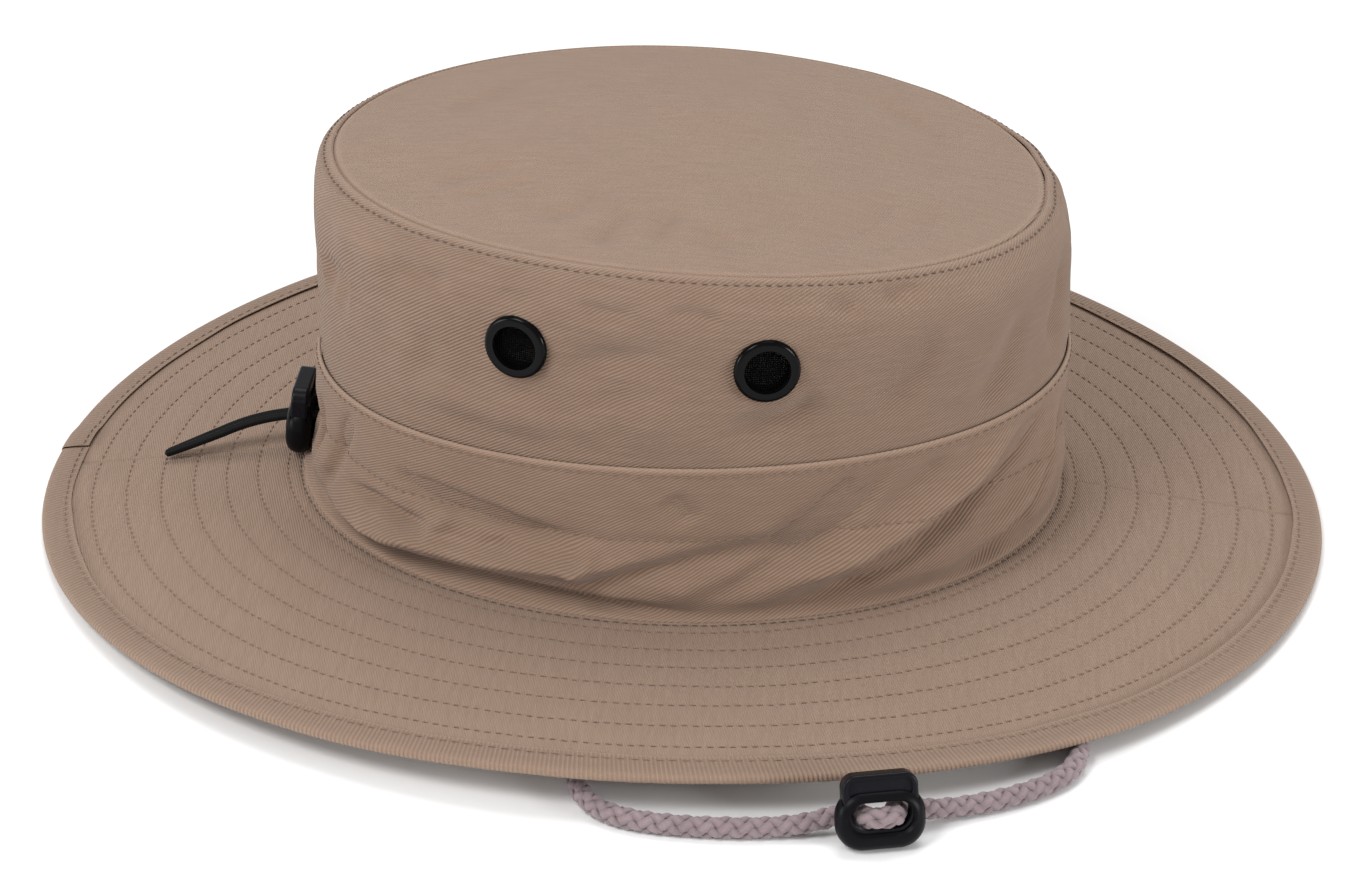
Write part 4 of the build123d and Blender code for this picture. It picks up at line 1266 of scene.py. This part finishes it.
def make_sweatband():
    phi = np.radians(np.linspace(180.3, 539.7, SWEAT_COLUMNS))
    bottom, top = SEAM_Z - BRIM_PLIES - 0.4, SEAM_Z + SWEAT_HEIGHT
    grid_phi, share = np.meshgrid(phi, np.linspace(0, 1, SWEAT_ROWS))
    z = bottom + (top - bottom) * share
    puff = 0.35 * np.sin(pi * np.clip((share - 0.1) / 0.8, 0, 1)) ** 0.7
    puff = puff + 0.12 * noise_round(66, grid_phi, 9, share * 3)
    inset = SWEAT_INSET + SWEAT_CLOTH + SWEAT_LEAN * share + puff - 0.25
    x = SWEAT_SHIFT * (z - SEAM_Z) + BASE_A * np.cos(grid_phi)
    oval = np.stack([x, BASE_B * np.sin(grid_phi), z], -1)
    grid = pushed_out(oval, grid_phi, -inset - cinch(grid_phi))
    weave = on_cloth(around_length(grid_phi) * 0.93, share * (top - bottom))
    wear = 0.5 * bump_shape((share - 1) * 30, 1.0) + 0.3 * bump_shape(share * 30, 1.0)
    band = cloth_slab("sweatband_cloth", grid, SWEAT_CLOTH * 0.7, weave, wear, sweat_cloth, flip=True)
    belongs(band, "sweat_cloth", "sweatband")
    normals = -grid_normals(grid)
    rows = [(grid[row], normals[row], seed) for row, seed in ((3, 101), (SWEAT_ROWS - 4, 102))]
    sew("sweatband_stitching", khaki_thread, "sweatband", rows, "sweat_cloth")


LABEL_COLUMNS, LABEL_ROWS = 40, 26


def make_label():
    """A blank woven tab, bowed to the sweatband, with its edges turned under and stitched down."""
    low, high = (np.array(corner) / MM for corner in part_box("inner_label"))
    size, centre = high - low, (low + high) / 2
    y = np.linspace(low[1], high[1], LABEL_COLUMNS)
    z = np.linspace(low[2], high[2], LABEL_ROWS)
    grid_y, grid_z = np.meshgrid(y, z)
    share_y, share_z = grid_y / (size[1] / 2), (grid_z - centre[2]) / (size[2] / 2)
    edge = np.maximum(np.abs(share_y), np.abs(share_z))
    lean = (size[0] - 0.5) * share_z / 2
    x = centre[0] + 0.25 + lean + 0.35 * share_y ** 2 - 0.25 * ease_between(edge, 0.9, 1.0)
    grid = np.stack([x, grid_y, grid_z], -1)
    wear = 0.3 * ease_between(edge, 0.85, 1.0)
    label = cloth_slab("inner_label_tab", grid, 0.45, on_cloth(grid_y, grid_z), wear, label_cloth)
    belongs(label, "white_tape", "inner_label")
    outward = np.tile((1.0, 0.0, 0.0), (60, 1))
    rows = []
    for row in (2, LABEL_ROWS - 3):
        line = points_at(grid[row], np.arange(LABEL_COLUMNS), np.linspace(1, LABEL_COLUMNS - 2, 60))
        rows.append((line, outward, 110 + row))
    for column in (2, LABEL_COLUMNS - 3):
        line = points_at(grid[:, column], np.arange(LABEL_ROWS), np.linspace(2, LABEL_ROWS - 3, 60))
        rows.append((line, outward, 120 + column))
    sew("inner_label_stitching", label_cloth, "label", rows, "white_tape")


make_sweatband()
make_label()

# ---- vents and locks -------------------------------------------------------------------------------
MESH_PITCH = 0.55
MESH_WIRE_R = 0.11
MESH_R = VENT_BARREL_R - 0.78


def make_vent_mesh():
    """Woven wire in each vent: wires over and under each other, cut to a disc."""
    bundle = Bundle()
    count = int(MESH_R / MESH_PITCH)
    for centre, normal in ALL_VENTS:
        across = Vector((0, 0, 1)).cross(normal).normalized()
        axes = (np.array(across), np.array(normal.cross(across)))
        origin = np.array(centre) - np.array(normal) * 0.4
        for way in (0, 1):
            for number in range(-count, count + 1):
                off = number * MESH_PITCH
                reach = sqrt(max(0.04, MESH_R ** 2 - off ** 2))
                t = np.linspace(-reach, reach, max(4, int(reach * 2 / MESH_PITCH * 2)))[:, None]
                weave = 0.1 * np.cos(pi * t / MESH_PITCH + pi * number + pi * way)
                line = origin + axes[way] * t + axes[1 - way] * off + np.array(normal) * weave
                bundle.add(*swept_tube(line, MESH_WIRE_R, 4, closed_ends=False))
    belongs(bundle.build("vent_wire_mesh", black_wire), "black_mesh", "vent_screens")


make_vent_mesh()

CAD_FINISHES = {
    "vent_eyelets": black_rim,
    "vent_washers": black_rim,
    "rear_lock_body": black_plastic,
    "chin_lock_body": black_plastic,
    "rear_lock_button": button_plastic,
    "chin_lock_button": button_plastic,
    "drawcord_channel_run": elastic,
}
for cad_name, cad_material in CAD_FINISHES.items():
    cad_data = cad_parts[cad_name].data
    cad_data.materials.clear()
    cad_data.materials.append(cad_material)
    for polygon in cad_data.polygons:
        polygon.material_index = 0

# ---- floor and light -------------------------------------------------------------------------------
FLOOR_HALF = 4000.0
FLOOR_GREY = (0.93, 0.93, 0.93)
SKY_STRENGTH = 0.5
LIGHTS = [
    # name, place, aim, width and height, all in metres, and power in watts
    ("key", (-0.6, -0.75, 1.15), (0, 0, 0.05), (0.5, 0.5), 9.8),
    ("right", (1.5, -0.8, 0.45), (0, 0, 0.05), (0.6, 0.5), 15.0),
    ("left", (-1.5, -0.7, 0.38), (0, 0, 0.05), (0.6, 0.5), 9.5),
    ("top", (0.1, 0.45, 1.5), (0, 0, 0.1), (1.0, 0.8), 9.5),
]


def make_floor():
    material, tree, shader = new_material("floor")
    feed(tree, shader.inputs["Base Color"], FLOOR_GREY)
    feed(tree, shader.inputs["Roughness"], 0.9)
    corners = [(x * FLOOR_HALF, y * FLOOR_HALF, 0) for x, y in ((-1, -1), (1, -1), (1, 1), (-1, 1))]
    mesh_object("floor", corners, [(0, 1, 2, 3)], material)


def make_lights():
    world = bpy.data.worlds.new("studio")
    world.use_nodes = True
    background = world.node_tree.nodes["Background"]
    background.inputs["Color"].default_value = (1.0, 1.0, 1.0, 1)
    background.inputs["Strength"].default_value = SKY_STRENGTH
    bpy.context.scene.world = world
    bpy.context.scene.view_settings.view_transform = "Standard"
    for name, at, aim, size, power in LIGHTS:
        data = bpy.data.lights.new(name, "AREA")
        data.shape = "RECTANGLE"
        data.size, data.size_y = size
        data.energy = power
        light = bpy.data.objects.new(name, data)
        light.location = at
        light.rotation_euler = (Vector(aim) - Vector(at)).to_track_quat("-Z", "Y").to_euler()
        linked(light)


make_floor()
make_lights()
